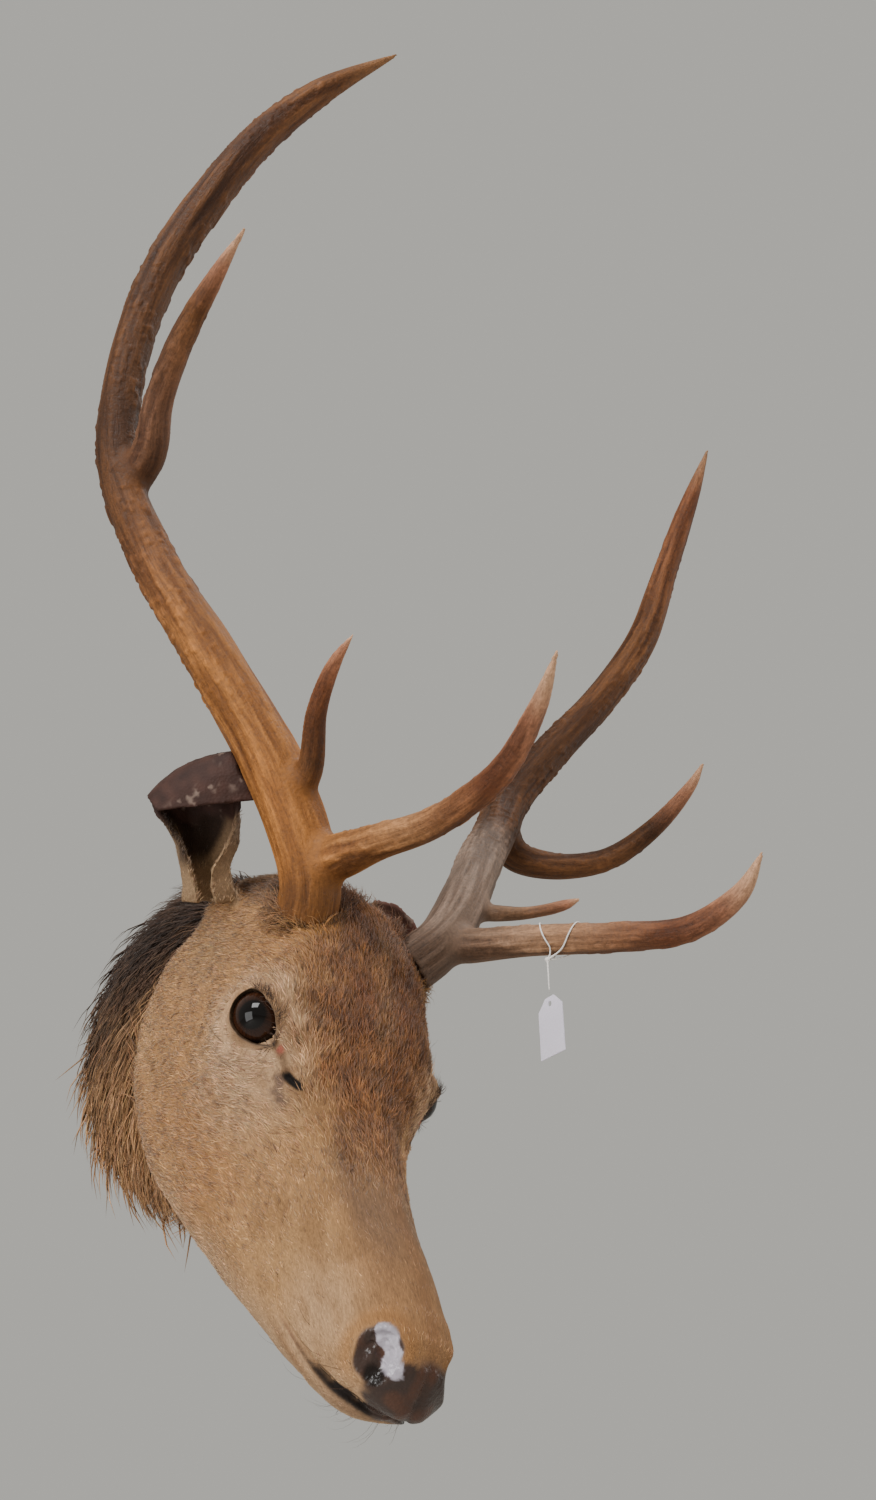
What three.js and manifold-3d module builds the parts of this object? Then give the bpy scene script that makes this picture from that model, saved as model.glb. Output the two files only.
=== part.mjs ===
// Red deer stag head on a short neck, for hanging on a wall. Millimetres, +Z up.
// The wall is the plane y = 0 and the stag looks out along -Y, its head bowed and turned a little to its left.
// The origin is the middle of the neck board's back face, where the mount meets the wall.
import * as THREE from "three";
import { mergeVertices } from "three/addons/utils/BufferGeometryUtils.js";
import Module from "manifold-3d";

const wasm = await Module();
wasm.setup();

// ---- Driving dimensions. Inside the head, places are [ahead, aside, up]: ahead of the antler bases towards the
// nose, aside from the middle plane, and up towards the crown.
const GAP = 0.35; // between touching pieces
const WALL_GAP = 1.5; // the coat's edge stops just short of the wall
const HEAD_AT = [38, -232, 18]; // middle between the antler bases, from the wall mount
const HEAD_BOW = 62.4; // degrees that the face points down
const HEAD_TURN = 8.7; // degrees turned to the stag's left
const HEAD_TILT = 12.7; // degrees leaned over
const NOSE = 313; // nose tip ahead of the antler bases
const OCCIPUT = -98; // back of the skull
const EYE = { ahead: 88, aside: 68.5, up: -53, radius: 18 };
const NOSTRIL = { ahead: 294, aside: 27, up: -60, radius: 7.5 };
const NECK_SPAN = { width: 186, height: 276 }; // the coat's outline where the neck meets the board
const BOARD = { width: 150, height: 212, thick: 18 };
const CARD = { width: 25, height: 41, thick: 0.8, clip: 8, hole: 2 };
const CARD_TURN = 95; // degrees from the wall, seen from above
const STRING = 1.3; // diameter of the tag's string
const STRING_HANG = 25; // from the knot down to the card
const KNOT_RADIUS = 2;

// ---- Shape tools
const radians = THREE.MathUtils.degToRad;
const at = ([ahead, aside, up]) => new THREE.Vector3(aside, -ahead, up);

/** A smooth function through [place, value] pairs, in rising order of place. */
function profile(pairs) {
  const slope = (i) => {
    const a = pairs[Math.max(i - 1, 0)];
    const b = pairs[Math.min(i + 1, pairs.length - 1)];
    return (b[1] - a[1]) / (b[0] - a[0]);
  };
  return (place) => {
    const x = THREE.MathUtils.clamp(place, pairs[0][0], pairs.at(-1)[0]);
    let i = 0;
    while (i < pairs.length - 2 && x > pairs[i + 1][0]) i++;
    const [x0, y0] = pairs[i];
    const [x1, y1] = pairs[i + 1];
    const span = x1 - x0;
    const t = (x - x0) / span;
    const rise = 2 * t ** 3 - 3 * t ** 2 + 1;
    const ease = t ** 3 - 2 * t ** 2 + t;
    const settle = t ** 3 - t ** 2;
    return rise * y0 + ease * span * slope(i) + (1 - rise) * y1 + settle * span * slope(i + 1);
  };
}

/**
 * A closed geometry through rings of points, which turn anticlockwise seen from the last ring. A sheet's ring is two
 * rows, there and back, and its ends are closed across the rows.
 */
function loft(rings, { closed = false, sheet = false } = {}) {
  const sides = rings[0].length;
  const points = rings.flat();
  const faces = [];
  const bands = closed ? rings.length : rings.length - 1;
  for (let r = 0; r < bands; r++) {
    for (let i = 0; i < sides; i++) {
      const next = ((r + 1) % rings.length) * sides;
      const [a, b] = [r * sides + i, r * sides + ((i + 1) % sides)];
      const [c, d] = [next + i, next + ((i + 1) % sides)];
      faces.push(a, b, d, a, d, c);
    }
  }
  if (closed) return new THREE.BufferGeometry().setFromPoints(points).setIndex(faces);
  for (const [ring, first, start] of [[rings[0], 0, true], [rings.at(-1), (rings.length - 1) * sides, false]]) {
    const face = (a, b, c) => faces.push(a, start ? c : b, start ? b : c);
    if (!sheet) points.push(ring.reduce((sum, p) => sum.add(p), new THREE.Vector3()).divideScalar(sides));
    for (let i = 0; i < (sheet ? sides / 2 - 1 : sides); i++) {
      const [a, b] = [first + i, first + ((i + 1) % sides)];
      const across = first + sides - 1 - i;
      if (sheet) {
        face(a, b, across - 1);
        face(a, across - 1, across);
      } else {
        face(points.length - 1, a, b);
      }
    }
  }
  return new THREE.BufferGeometry().setFromPoints(points).setIndex(faces);
}

/** A manifold-3d solid of a closed geometry, moved by a matrix if one is given. */
function solid(geometry, matrix) {
  const bare = geometry.index ? geometry.toNonIndexed() : geometry.clone();
  bare.deleteAttribute("normal");
  bare.deleteAttribute("uv");
  if (matrix) bare.applyMatrix4(matrix);
  const merged = mergeVertices(bare, 1e-3);
  const made = new wasm.Manifold(new wasm.Mesh({
    numProp: 3,
    vertProperties: merged.attributes.position.array,
    triVerts: new Uint32Array(merged.index.array),
  }));
  return made;
}

/** A matrix that swells a shape in the head away from a place inside it, by about the gap at 60 mm. */
function swelling(place) {
  const share = 1 + GAP / 60;
  const middle = at(place);
  return new THREE.Matrix4().makeTranslation(middle)
    .scale(new THREE.Vector3(share, share, share))
    .multiply(new THREE.Matrix4().makeTranslation(middle.negate()));
}

/** The largest body of a solid as a geometry: a cut can leave slivers beside it. */
function geometryOf(made) {
  const body = made.decompose().sort((a, b) => b.volume() - a.volume())[0];
  const { vertProperties, triVerts } = body.getMesh();
  const geometry = new THREE.BufferGeometry();
  geometry.setAttribute("position", new THREE.BufferAttribute(new Float32Array(vertProperties), 3));
  geometry.setIndex([...triVerts]);
  geometry.computeVertexNormals();
  return geometry;
}

/** A round bar of changing radius along a curve, from share `from` to share `to` of it, `grow` thicker all over. */
function bar(curve, radiusAt, { from = 0, to = 1, grow = 0, steps = 14, sides = 10, closed = false } = {}) {
  const frames = curve.computeFrenetFrames(400, closed);
  const count = closed ? steps - 1 : steps;
  const rings = [];
  for (let s = 0; s <= count; s++) {
    const share = from + (to - from) * (s / steps);
    const frame = Math.round(share * 400);
    const middle = curve.getPointAt(share);
    const slack = grow * (s === 0 ? -1 : s === steps ? 1 : 0);
    middle.addScaledVector(curve.getTangentAt(share), closed ? 0 : slack);
    const radius = radiusAt(share) + grow;
    rings.push(Array.from({ length: sides }, (_, i) => {
      const turn = (i / sides) * 2 * Math.PI;
      return middle.clone()
        .addScaledVector(frames.normals[frame], Math.cos(turn) * radius)
        .addScaledVector(frames.binormals[frame], Math.sin(turn) * radius);
    }));
  }
  return solid(loft(rings, { closed }));
}

/** A prism across the head, whose outline is [ahead, up] points in the middle plane. */
function acrossHead(outline, halfWidth = 150) {
  const shape = new THREE.Shape(outline.map(([ahead, up]) => new THREE.Vector2(ahead, up)));
  const geometry = new THREE.ExtrudeGeometry(shape, { depth: 2 * halfWidth, bevelEnabled: false });
  const toHead = new THREE.Matrix4().makeBasis(
    new THREE.Vector3(0, -1, 0), new THREE.Vector3(0, 0, 1), new THREE.Vector3(-1, 0, 0));
  toHead.setPosition(halfWidth, 0, 0);
  return solid(geometry, toHead);
}

/** An ellipsoid at a place in the head. */
function pebble(place, [ahead, aside, up], detail = 3) {
  const geometry = new THREE.IcosahedronGeometry(1, detail).scale(aside, ahead, up);
  geometry.translate(...at(place));
  return solid(geometry);
}

// ---- Head: one body lofted from the nose to the occiput through named profile curves
const crown = profile([
  [-98, -66], [-84, -40], [-50, -12], [-20, 5], [0, 14], [40, 10], [70, 0], [105, -14], [150, -34],
  [190, -39], [250, -40], [280, -42], [297, -49], [308, -60], [313, -70],
]);
const keel = profile([
  [-98, -76], [-84, -124], [-50, -172], [0, -196], [60, -197], [110, -190], [160, -173], [209, -152],
  [250, -131], [280, -114], [296, -102], [304, -92], [310, -81], [313, -74],
]);
const crownWidth = profile([
  [-98, 6], [-60, 36], [-20, 49], [0, 53], [60, 52], [100, 50], [150, 24], [200, 19], [250, 19],
  [290, 18], [313, 4],
]);
const orbitWidth = profile([
  [-98, 10], [-60, 62], [0, 70], [60, 77], [90, 81], [112, 69], [135, 55], [165, 46], [210, 40],
  [250, 36], [290, 32], [308, 20], [313, 8],
]);
const orbitHeight = profile([
  [-98, -68], [0, -46], [95, -46], [150, -62], [250, -66], [313, -72],
]);
const cheekWidth = profile([
  [-98, 9], [-40, 66], [20, 76], [90, 74], [130, 64], [170, 53], [210, 44], [250, 38], [285, 32],
  [306, 18], [313, 7],
]);
const jawWidth = profile([
  [-98, 5], [-40, 46], [20, 58], [90, 56], [130, 47], [170, 37], [210, 31], [250, 27], [285, 23],
  [306, 11], [313, 4],
]);

function headRing(ahead) {
  const top = crown(ahead);
  const depth = top - keel(ahead);
  const half = [
    [0, top],
    [crownWidth(ahead), top - 0.07 * depth],
    [orbitWidth(ahead), orbitHeight(ahead)],
    [cheekWidth(ahead), top - 0.64 * depth],
    [jawWidth(ahead), top - 0.92 * depth],
    [0, top - depth],
  ];
  const mirrored = half.slice(1, -1).reverse().map(([aside, up]) => [-aside, up]);
  const outline = [...half, ...mirrored].map(([aside, up]) => at([ahead, aside, up]));
  const curve = new THREE.CatmullRomCurve3(outline, true, "centripetal");
  const sides = outline.length * 3;
  return Array.from({ length: sides }, (_, i) => curve.getPoint((sides - i) / sides));
}

function headBody() {
  const steps = 24;
  const rings = [];
  for (let s = 0; s <= steps; s++) {
    const share = (1 - Math.cos((s / steps) * Math.PI)) / 2;
    const eased = 0.45 * share + 0.55 * (s / steps);
    rings.push(headRing(OCCIPUT + (NOSE - OCCIPUT) * eased));
  }
  return solid(loft(rings));
}

const headGroup = new THREE.Group();
headGroup.position.set(...HEAD_AT);
headGroup.rotation.set(radians(HEAD_BOW), radians(HEAD_TILT), radians(HEAD_TURN), "ZXY");
headGroup.updateMatrix();

// ---- Antlers. Each control is [ahead, aside, up, radius]; aside is away from the middle plane.
const ANTLERS = {
  right: {
    side: -1,
    beam: [[16, 48, -14, 21], [5, 61, 7, 20.5], [-50, 97, 31, 21.5], [-128, 148, 45, 20], [-229, 214, 58, 17.7],
      [-299, 260, 83, 16.6], [-361, 291, 137, 15.2], [-416, 308, 204, 15.6], [-452, 311, 265, 15.3],
      [-491, 306, 341, 14], [-515, 289, 410, 10.4], [-529, 260, 480, 1.2]],
    fork: 0.425,
    tines: {
      brow_tine: [[-4, 61, 8, 17], [11, 61, 34, 15.5], [27, 59, 62, 12], [52, 56, 104, 9.8], [74, 65, 159, 8.3],
        [86, 88, 203, 5.6], [94, 112, 235, 1]],
      bez_tine: [[-34, 84, 24, 12], [-36, 98, 58, 9], [-39, 122, 91, 6.9], [-38, 137, 123, 4.5], [-35, 143, 146, 1]],
      tray_tine: [[-290, 246, 70, 15], [-281, 253, 109, 13.5], [-279, 272, 142, 11], [-271, 290, 187, 9.8],
        [-255, 304, 241, 5.8], [-243, 312, 278, 1]],
    },
  },
  left: {
    side: 1,
    beam: [[16, 45, -6, 20], [4, 59, 18, 19.5], [-45, 85, 42, 18.6], [-105, 119, 52, 18.8], [-183, 170, 60, 19.2],
      [-235, 196, 80, 19], [-273, 218, 129, 18.3], [-313, 244, 199, 16.4], [-351, 255, 273, 15.6],
      [-398, 244, 346, 12.4], [-432, 229, 411, 9], [-456, 214, 463, 1.2]],
    fork: 0.4,
    tines: {
      brow_tine: [[-2, 58, 12, 17], [16, 68, 33, 13], [38, 86, 71, 11], [68, 110, 119, 10.4], [90, 126, 159, 9],
        [98, 125, 200, 6.6], [96, 112, 231, 1]],
      bez_tine: [[-38, 82, 34, 11], [-24, 93, 48, 7.5], [-12, 109, 69, 5], [-3, 122, 95, 4], [-1, 126, 106, 1.2]],
      tray_tine: [[-224, 194, 62, 17], [-201, 217, 50, 15.5], [-181, 240, 66, 12.6], [-160, 264, 108, 10.8],
        [-153, 270, 160, 8.8], [-154, 264, 213, 5], [-157, 257, 235, 1.2]],
    },
  },
};

/** The curve and the radius function of one antler branch. */
function branch(controls, side) {
  const points = controls.map(([ahead, aside, up]) => at([ahead, side * aside, up]));
  const curve = new THREE.CatmullRomCurve3(points, false, "centripetal");
  const lengths = curve.getLengths(controls.length * 40 - 40);
  const radiusAt = profile(controls.map(([, , , radius], i) => [lengths[i * 40] / lengths.at(-1), radius]));
  return { curve, radiusAt };
}

function antler({ side, beam, fork, tines }) {
  const { curve, radiusAt } = branch(beam, side);
  const foot = { to: fork, steps: 14 };
  const head = { from: fork + GAP / curve.getLength(), steps: 16 };
  const pieces = { beam: bar(curve, radiusAt, foot), top: bar(curve, radiusAt, head) };
  const grown = bar(curve, radiusAt, { ...foot, grow: GAP }).add(bar(curve, radiusAt, { ...head, grow: GAP }));
  for (const [name, controls] of Object.entries(tines)) {
    const tine = branch(controls, side);
    pieces[name] = bar(tine.curve, tine.radiusAt, { steps: 11 }).subtract(grown);
  }
  return { pieces, grown };
}

// ---- Eyes, and the sockets cut for them
const eyePlace = (side) => [EYE.ahead, side * EYE.aside, EYE.up];
const eyeball = (side, grow = 0) => pebble(eyePlace(side), Array(3).fill(EYE.radius + grow), 2);

// ---- Mouth and jaw: the slit rises from the chin's front to the corner, and the jaw parts from the head behind it
const MOUTH = [[330, -72], [303, -82], [285, -91], [268, -99], [230, -113]];
const JAW_SEAM = [[150, -140], [60, -166], [-10, -215]];
const LIPS_APART = 1.5;

function jawPrism(grow) {
  const seam = JAW_SEAM.map(([ahead, up]) => [ahead, up + grow]);
  const lips = MOUTH.map(([ahead, up]) => [ahead, up + (grow || -LIPS_APART * Math.min(1, (ahead - 230) / 40))]);
  return acrossHead([...lips, ...seam, [-10, -280], [330, -280]]);
}
const MUZZLE_CUT = 152; // the muzzle parts from the cheeks ahead of the eyes
const nosePebble = (grow) => pebble([296, 0, -61], [19 + grow, 31 + grow, 26 + grow], 3);

// ---- Ears: a tube at the root that opens into a cup, whose upper part folds over its mouth. Rows of the ear's sheet
// run from its outer rim to its inner rim. Fold turns a row over from facing out to facing down and then back, and
// wrap is how far the row curls round each way, both in degrees.
const evenly = (values) => profile(values.map((value, i) => [i / (values.length - 1), value]));
const EARS = {
  right: {
    side: -1,
    outer: [[-24, 91, -65], [-36, 104, -55], [-57, 122, -47], [-76, 138, -48], [-83, 143, -46], [-81, 147, -44],
      [-73, 146, -43], [-67, 141, -42]],
    inner: [[-21, 84, -58], [-32, 97, -47], [-48, 97, -21], [-62, 102, -4], [-78, 110, 12], [-82, 116, 25],
      [-65, 109, 20], [-52, 100, 10]],
    fold: evenly([0, 0, 5, 15, 50, 100, 160, 178]),
    wrap: evenly([165, 158, 122, 80, 48, 25, 16, 14]),
    steps: 12,
  },
  left: {
    side: 1,
    outer: [[2, 73, -61], [-9, 93, -55], [-31, 117, -51], [-67, 118, -27], [-84, 87, -11], [-78, 52, -15]],
    inner: [[1, 68, -52], [-11, 83, -41], [-27, 93, -29], [-37, 84, -25], [-47, 72, -28], [-60, 52, -27]],
    fold: evenly([8, 4, -10, -22, -24, -22]),
    wrap: evenly([165, 154, 131, 102, 78, 58]),
    steps: 8,
  },
};
const EAR_THICK = 4.5;
const EAR_OPENS = [0.82, 0.44, 0.37]; // the way that the cup's mouth faces

function ear({ side, outer, inner, fold, wrap, steps }) {
  const [outerRim, innerRim] = [outer, inner].map((places) => {
    const points = places.map(([ahead, aside, up]) => at([ahead, side * aside, up]));
    return new THREE.CatmullRomCurve3(points, false, "centripetal");
  });
  const opens = at([EAR_OPENS[0], side * EAR_OPENS[1], EAR_OPENS[2]]);
  const arc = 7;
  const rings = [];
  for (let s = 0; s <= steps; s++) {
    const share = s / steps;
    const across = innerRim.getPoint(share).sub(outerRim.getPoint(share));
    const middle = outerRim.getPoint(share).addScaledVector(across, 0.5);
    const [curl, turned] = [radians(wrap(share)), radians(fold(share))];
    const radius = across.length() / 2 / Math.sin(curl);
    across.normalize();
    const out = opens.clone().addScaledVector(across, -opens.dot(across)).normalize();
    const down = across.clone().cross(out).multiplyScalar(-side);
    const front = out.multiplyScalar(Math.cos(turned)).addScaledVector(down, Math.sin(turned));
    const spot = (turn, r) => middle.clone()
      .addScaledVector(front, Math.cos(curl) * radius - Math.cos(turn) * r)
      .addScaledVector(across, Math.sin(turn) * r);
    const turns = Array.from({ length: arc }, (_, i) => -curl + (2 * curl * i) / (arc - 1));
    const back = turns.map((turn) => spot(turn, radius + EAR_THICK / 2));
    const face = turns.map((turn) => spot(turn, radius - EAR_THICK / 2)).reverse();
    rings.push(side < 0 ? [...back, ...face].reverse() : [...back, ...face]);
  }
  const bands = rings.slice(1).map((ring, i) => solid(loft([rings[i], ring], { sheet: true })));
  return bands.reduce((made, band) => made.add(band));
}

// ---- Neck: lofted from the board's face to inside the head, in the wall's own frame
function ellipseRing([x, y, z], width, height, lean, sides = 28) {
  return Array.from({ length: sides }, (_, i) => {
    const turn = (i / sides) * 2 * Math.PI;
    const up = (Math.sin(turn) * height) / 2;
    const narrow = 1 - 0.1 * Math.sin(turn); // the crest is narrower than the throat
    return new THREE.Vector3(x + (Math.cos(turn) * width * narrow) / 2, y + up * Math.sin(lean), z + up * Math.cos(lean));
  });
}

function neckBody() {
  const { width, height } = NECK_SPAN;
  const rings = [
    ellipseRing([0, -WALL_GAP, 0], width - 8, height - 8, 0),
    ellipseRing([0, -WALL_GAP - 8, 0], width, height, 0),
    ellipseRing([2, -48, -2], width - 2, height, 0),
    ellipseRing([5, -84, -8], width - 12, height - 8, 0.08),
    ellipseRing([10, -114, -14], width - 30, height - 32, 0.16),
    ellipseRing([16, -143, -18], width - 58, height - 72, 0.26),
    ellipseRing([24, -168, -20], width - 96, height - 126, 0.36),
  ];
  return solid(loft(rings));
}

// ---- Neck board, in the wall's frame
function neckBoard(grow = 0) {
  const outline = new THREE.Shape().absellipse(0, 0, BOARD.width / 2 + grow, BOARD.height / 2 + grow, 0, 2 * Math.PI);
  const depth = BOARD.thick + 2 * grow;
  const geometry = new THREE.ExtrudeGeometry(outline, { depth, bevelEnabled: false, curveSegments: 24 });
  return solid(geometry.rotateX(Math.PI / 2).translate(0, grow, 0));
}

// ---- Tag: a string looped twice round the left brow tine, and a card that hangs from its knot
const TAG_SHARE = 0.37; // along the tine
const LOOP_SPREAD = 14; // each way along the tine
const KNOT_SHIFT = -7; // back along the tine

function tagPlaces() {
  const tine = branch(ANTLERS.left.tines.brow_tine, 1);
  const middle = tine.curve.getPointAt(TAG_SHARE).applyMatrix4(headGroup.matrix);
  const along = tine.curve.getTangentAt(TAG_SHARE).transformDirection(headGroup.matrix);
  const radius = tine.radiusAt(TAG_SHARE) + STRING / 2 + GAP + 0.4;
  const down = new THREE.Vector3(0, 0, -1);
  const below = down.addScaledVector(along, -down.dot(along)).normalize();
  const front = along.clone().cross(below).normalize();
  if (front.y > 0) front.negate();
  const knot = middle.clone()
    .addScaledVector(below, radius + 4)
    .addScaledVector(front, 2.5)
    .addScaledVector(along, KNOT_SHIFT);
  return { middle, along, radius, below, front, knot };
}

function tagString({ middle, along, radius, below, front, knot }) {
  const spot = (way, reach, lean) => middle.clone().addScaledVector(along, lean)
    .addScaledVector(below, -Math.cos(way) * reach).addScaledVector(front, Math.sin(way) * reach);
  const ring = (lean) => {
    const turns = [-150, -110, -75, -40, 0, 40, 75, 110, 150];
    const points = turns.map((way) => spot(radians(way), radius, lean * Math.cos(radians(way) / 2)));
    return new THREE.CatmullRomCurve3([knot, ...points], true, "centripetal");
  };
  const strand = (lean) => bar(ring(lean), () => STRING / 2, { steps: 17, sides: 6, closed: true });
  const tied = solid(new THREE.IcosahedronGeometry(KNOT_RADIUS, 1).translate(...knot));
  const foot = knot.clone().add(new THREE.Vector3(0, 0, -KNOT_RADIUS - STRING_HANG));
  const drop = bar(new THREE.LineCurve3(knot, foot), () => STRING / 2, { steps: 6, sides: 6 });
  return strand(LOOP_SPREAD).add(strand(-LOOP_SPREAD)).add(tied).add(drop);
}

function tagCard() {
  const { width, height, thick, clip, hole } = CARD;
  const half = width / 2;
  const outline = new THREE.Shape([[-half, -height], [half, -height], [half, -clip], [half - clip, 0],
    [clip - half, 0], [-half, -clip]].map(([x, y]) => new THREE.Vector2(x, y)));
  outline.holes.push(new THREE.Path().absarc(0, -5, hole, 0, 2 * Math.PI));
  const geometry = new THREE.ExtrudeGeometry(outline, { depth: thick, bevelEnabled: false, curveSegments: 6 });
  return solid(geometry.translate(0, 0, -thick / 2).rotateX(Math.PI / 2));
}

// ---- Materials
const finish = (color, roughness) => new THREE.MeshStandardMaterial({ color, roughness, metalness: 0 });
const MATERIALS = {
  coat: finish(0xa9825a, 0.9),
  mane: finish(0x4a3526, 0.9),
  ear: finish(0x6d5340, 0.9),
  antler: finish(0x8a6238, 0.6),
  eye: finish(0x140c08, 0.05),
  nose: finish(0x1c1613, 0.25),
  board: finish(0x7a5b3a, 0.7),
  card: finish(0xe8e4f0, 0.8),
  string: finish(0xf0ebe6, 0.9),
};

// ---- Assembly
const stag = new THREE.Group();
stag.add(headGroup);

function place(name, made, material, group = headGroup) {
  const mesh = new THREE.Mesh(geometryOf(made), MATERIALS[material]);
  mesh.name = name;
  group.add(mesh);
  return mesh;
}

const sides = { right: -1, left: 1 };
const antlers = {};
let head = headBody();
for (const [name, side] of Object.entries(sides)) {
  antlers[name] = antler(ANTLERS[name]);
  head = head.subtract(antlers[name].grown).subtract(eyeball(side, GAP));
  place(`eye_${name}`, eyeball(side), "eye");
  for (const [piece, made] of Object.entries(antlers[name].pieces)) {
    place(`antler_${name}_${piece}`, made, "antler");
  }
}

const nostrils = [-1, 1].map((side) => pebble([NOSTRIL.ahead, side * NOSTRIL.aside, NOSTRIL.up],
  [NOSTRIL.radius, NOSTRIL.radius, NOSTRIL.radius * 0.7], 2));
const upper = head.subtract(jawPrism(GAP));
const nosePad = upper.intersect(nosePebble(0));
const faceAhead = acrossHead([[MUZZLE_CUT, 120], [MUZZLE_CUT, -260], [400, -260], [400, 120]]);
const faceBehind = acrossHead([[MUZZLE_CUT - GAP, 120], [-300, 120], [-300, -260], [MUZZLE_CUT - GAP, -260]]);
place("nose_pad", nosePad.subtract(nostrils[0]).subtract(nostrils[1]), "nose");
const muzzle = upper.intersect(faceAhead).subtract(nosePebble(GAP));
place("muzzle", muzzle.subtract(nostrils[0]).subtract(nostrils[1]), "coat");
place("lower_jaw", head.intersect(jawPrism(0)), "coat");

const skull = upper.intersect(faceBehind);
place("head", skull, "coat");
const grownHead = solid(geometryOf(headBody()), swelling([10, 0, -90]));
for (const [name, shape] of Object.entries(EARS)) {
  place(`ear_${name}`, ear(shape).subtract(grownHead).subtract(antlers[name].grown), "ear");
}

const grownHeadOnWall = solid(geometryOf(grownHead), headGroup.matrix);
const grownEarsOnWall = Object.values(EARS).map((shape) => solid(geometryOf(ear(shape)), headGroup.matrix));
const neckAlone = neckBody().subtract(grownHeadOnWall).subtract(neckBoard(GAP));
const neck = grownEarsOnWall.reduce((made, earSolid) => made.subtract(earSolid), neckAlone);
place("neck", neck, "mane", stag);
place("neck_board", neckBoard(), "board", stag);

const tag = tagPlaces();
place("tag_string", tagString(tag), "string", stag);
const card = place("tag_card", tagCard(), "card", stag);
card.position.copy(tag.knot).add(new THREE.Vector3(0, 0, -KNOT_RADIUS - STRING_HANG - GAP));
card.rotation.z = radians(CARD_TURN);

export default stag;
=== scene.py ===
"""Red deer stag head mount: skin, coat, eyes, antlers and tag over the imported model, in metres."""
import math
from functools import cache
from itertools import product

import bmesh
import bpy
import numpy as np
from mathutils import Matrix, Vector
from mathutils.bvhtree import BVHTree
from mathutils.kdtree import KDTree


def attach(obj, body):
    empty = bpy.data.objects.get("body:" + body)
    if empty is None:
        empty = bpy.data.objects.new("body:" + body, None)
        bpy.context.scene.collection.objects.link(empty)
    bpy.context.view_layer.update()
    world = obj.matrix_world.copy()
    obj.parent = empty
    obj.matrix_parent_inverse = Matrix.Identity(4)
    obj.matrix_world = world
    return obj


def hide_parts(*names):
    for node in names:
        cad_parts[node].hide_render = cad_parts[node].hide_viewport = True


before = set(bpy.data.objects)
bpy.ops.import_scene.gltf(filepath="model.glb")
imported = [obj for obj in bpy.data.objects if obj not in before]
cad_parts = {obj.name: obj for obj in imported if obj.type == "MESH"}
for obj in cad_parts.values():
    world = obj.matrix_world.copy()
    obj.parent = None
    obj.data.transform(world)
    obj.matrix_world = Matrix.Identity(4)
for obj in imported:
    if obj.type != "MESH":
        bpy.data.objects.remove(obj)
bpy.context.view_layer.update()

MM = 0.001

# ---- the head's own frame
# Places in the head are [ahead, aside, up] in millimetres from the middle between the antler bases.
HEAD_AT = np.array([0.038, -0.232, 0.018])
BOW, TILT, TURN = (math.radians(a) for a in (62.4, 12.7, 8.7))
HEAD = np.array(Matrix.Rotation(TURN, 3, "Z") @ Matrix.Rotation(BOW, 3, "X") @ Matrix.Rotation(TILT, 3, "Y"))


def from_head(places):
    p = np.asarray(places, float)
    return np.stack([p[..., 1], -p[..., 0], p[..., 2]], -1) @ HEAD.T * MM + HEAD_AT


def to_head(points):
    q = (np.asarray(points) - HEAD_AT) @ HEAD / MM
    return np.stack([-q[..., 1], q[..., 0], q[..., 2]], -1)


def turn_from_head(ways):
    w = np.asarray(ways, float)
    return np.stack([w[..., 1], -w[..., 0], w[..., 2]], -1) @ HEAD.T


# ---- small numpy tools
def unit(v):
    return v / np.maximum(np.linalg.norm(v, axis=-1, keepdims=True), 1e-12)


def ease(low, high, x):
    t = np.clip((np.asarray(x, float) - low) / (high - low), 0, 1)
    return t * t * (3 - 2 * t)


def near(x, middle, reach):
    """1 at the middle, falling smoothly to 0 at the reach."""
    return 1 - ease(0, reach, np.abs(np.asarray(x) - middle))


def distance(points, place):
    return np.linalg.norm(points - place, axis=1)


def close_to(points, place, reach):
    """1 at the place, falling smoothly to 0 at the reach."""
    return near(distance(points, place), 0, reach)


def curve_at(pairs, x):
    places, values = zip(*pairs)
    return np.interp(x, places, values)


def along(a, flow):
    """The part of each direction of `a` that lies across the unit directions of `flow`."""
    return a - (a * flow).sum(-1, keepdims=True) * flow


LATTICES = [np.random.default_rng(seed).random((32, 32, 32)) for seed in range(4)]


def noise(points, size, seed=0):
    """Smooth noise from 0 to 1 over points, with lumps of about `size`."""
    p = np.asarray(points) / size + 7.31 * (seed + 1)
    cell = np.floor(p).astype(int)
    t = ease(0, 1, p - cell)
    total = 0
    for corner in product((0, 1), repeat=3):
        weight = math.prod(t[:, k] if corner[k] else 1 - t[:, k] for k in range(3))
        total = total + weight * LATTICES[seed % 4][tuple(((cell + corner) % 32).T)]
    return total


def colour(hexa):
    """Linear colour of an sRGB hex triple."""
    c = np.array([int(hexa[i:i + 2], 16) for i in (0, 2, 4)]) / 255
    return np.where(c <= 0.04045, c / 12.92, ((c + 0.055) / 1.055) ** 2.4)


def colours(text):
    return [colour(hexa) for hexa in text.split()]


def blend(base, other, share):
    return base + (other - base) * np.asarray(share)[..., None]


# ---- mesh tools
def placed(name, data):
    """A new object in the scene."""
    obj = bpy.data.objects.new(name, data)
    bpy.context.scene.collection.objects.link(obj)
    return obj


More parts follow.
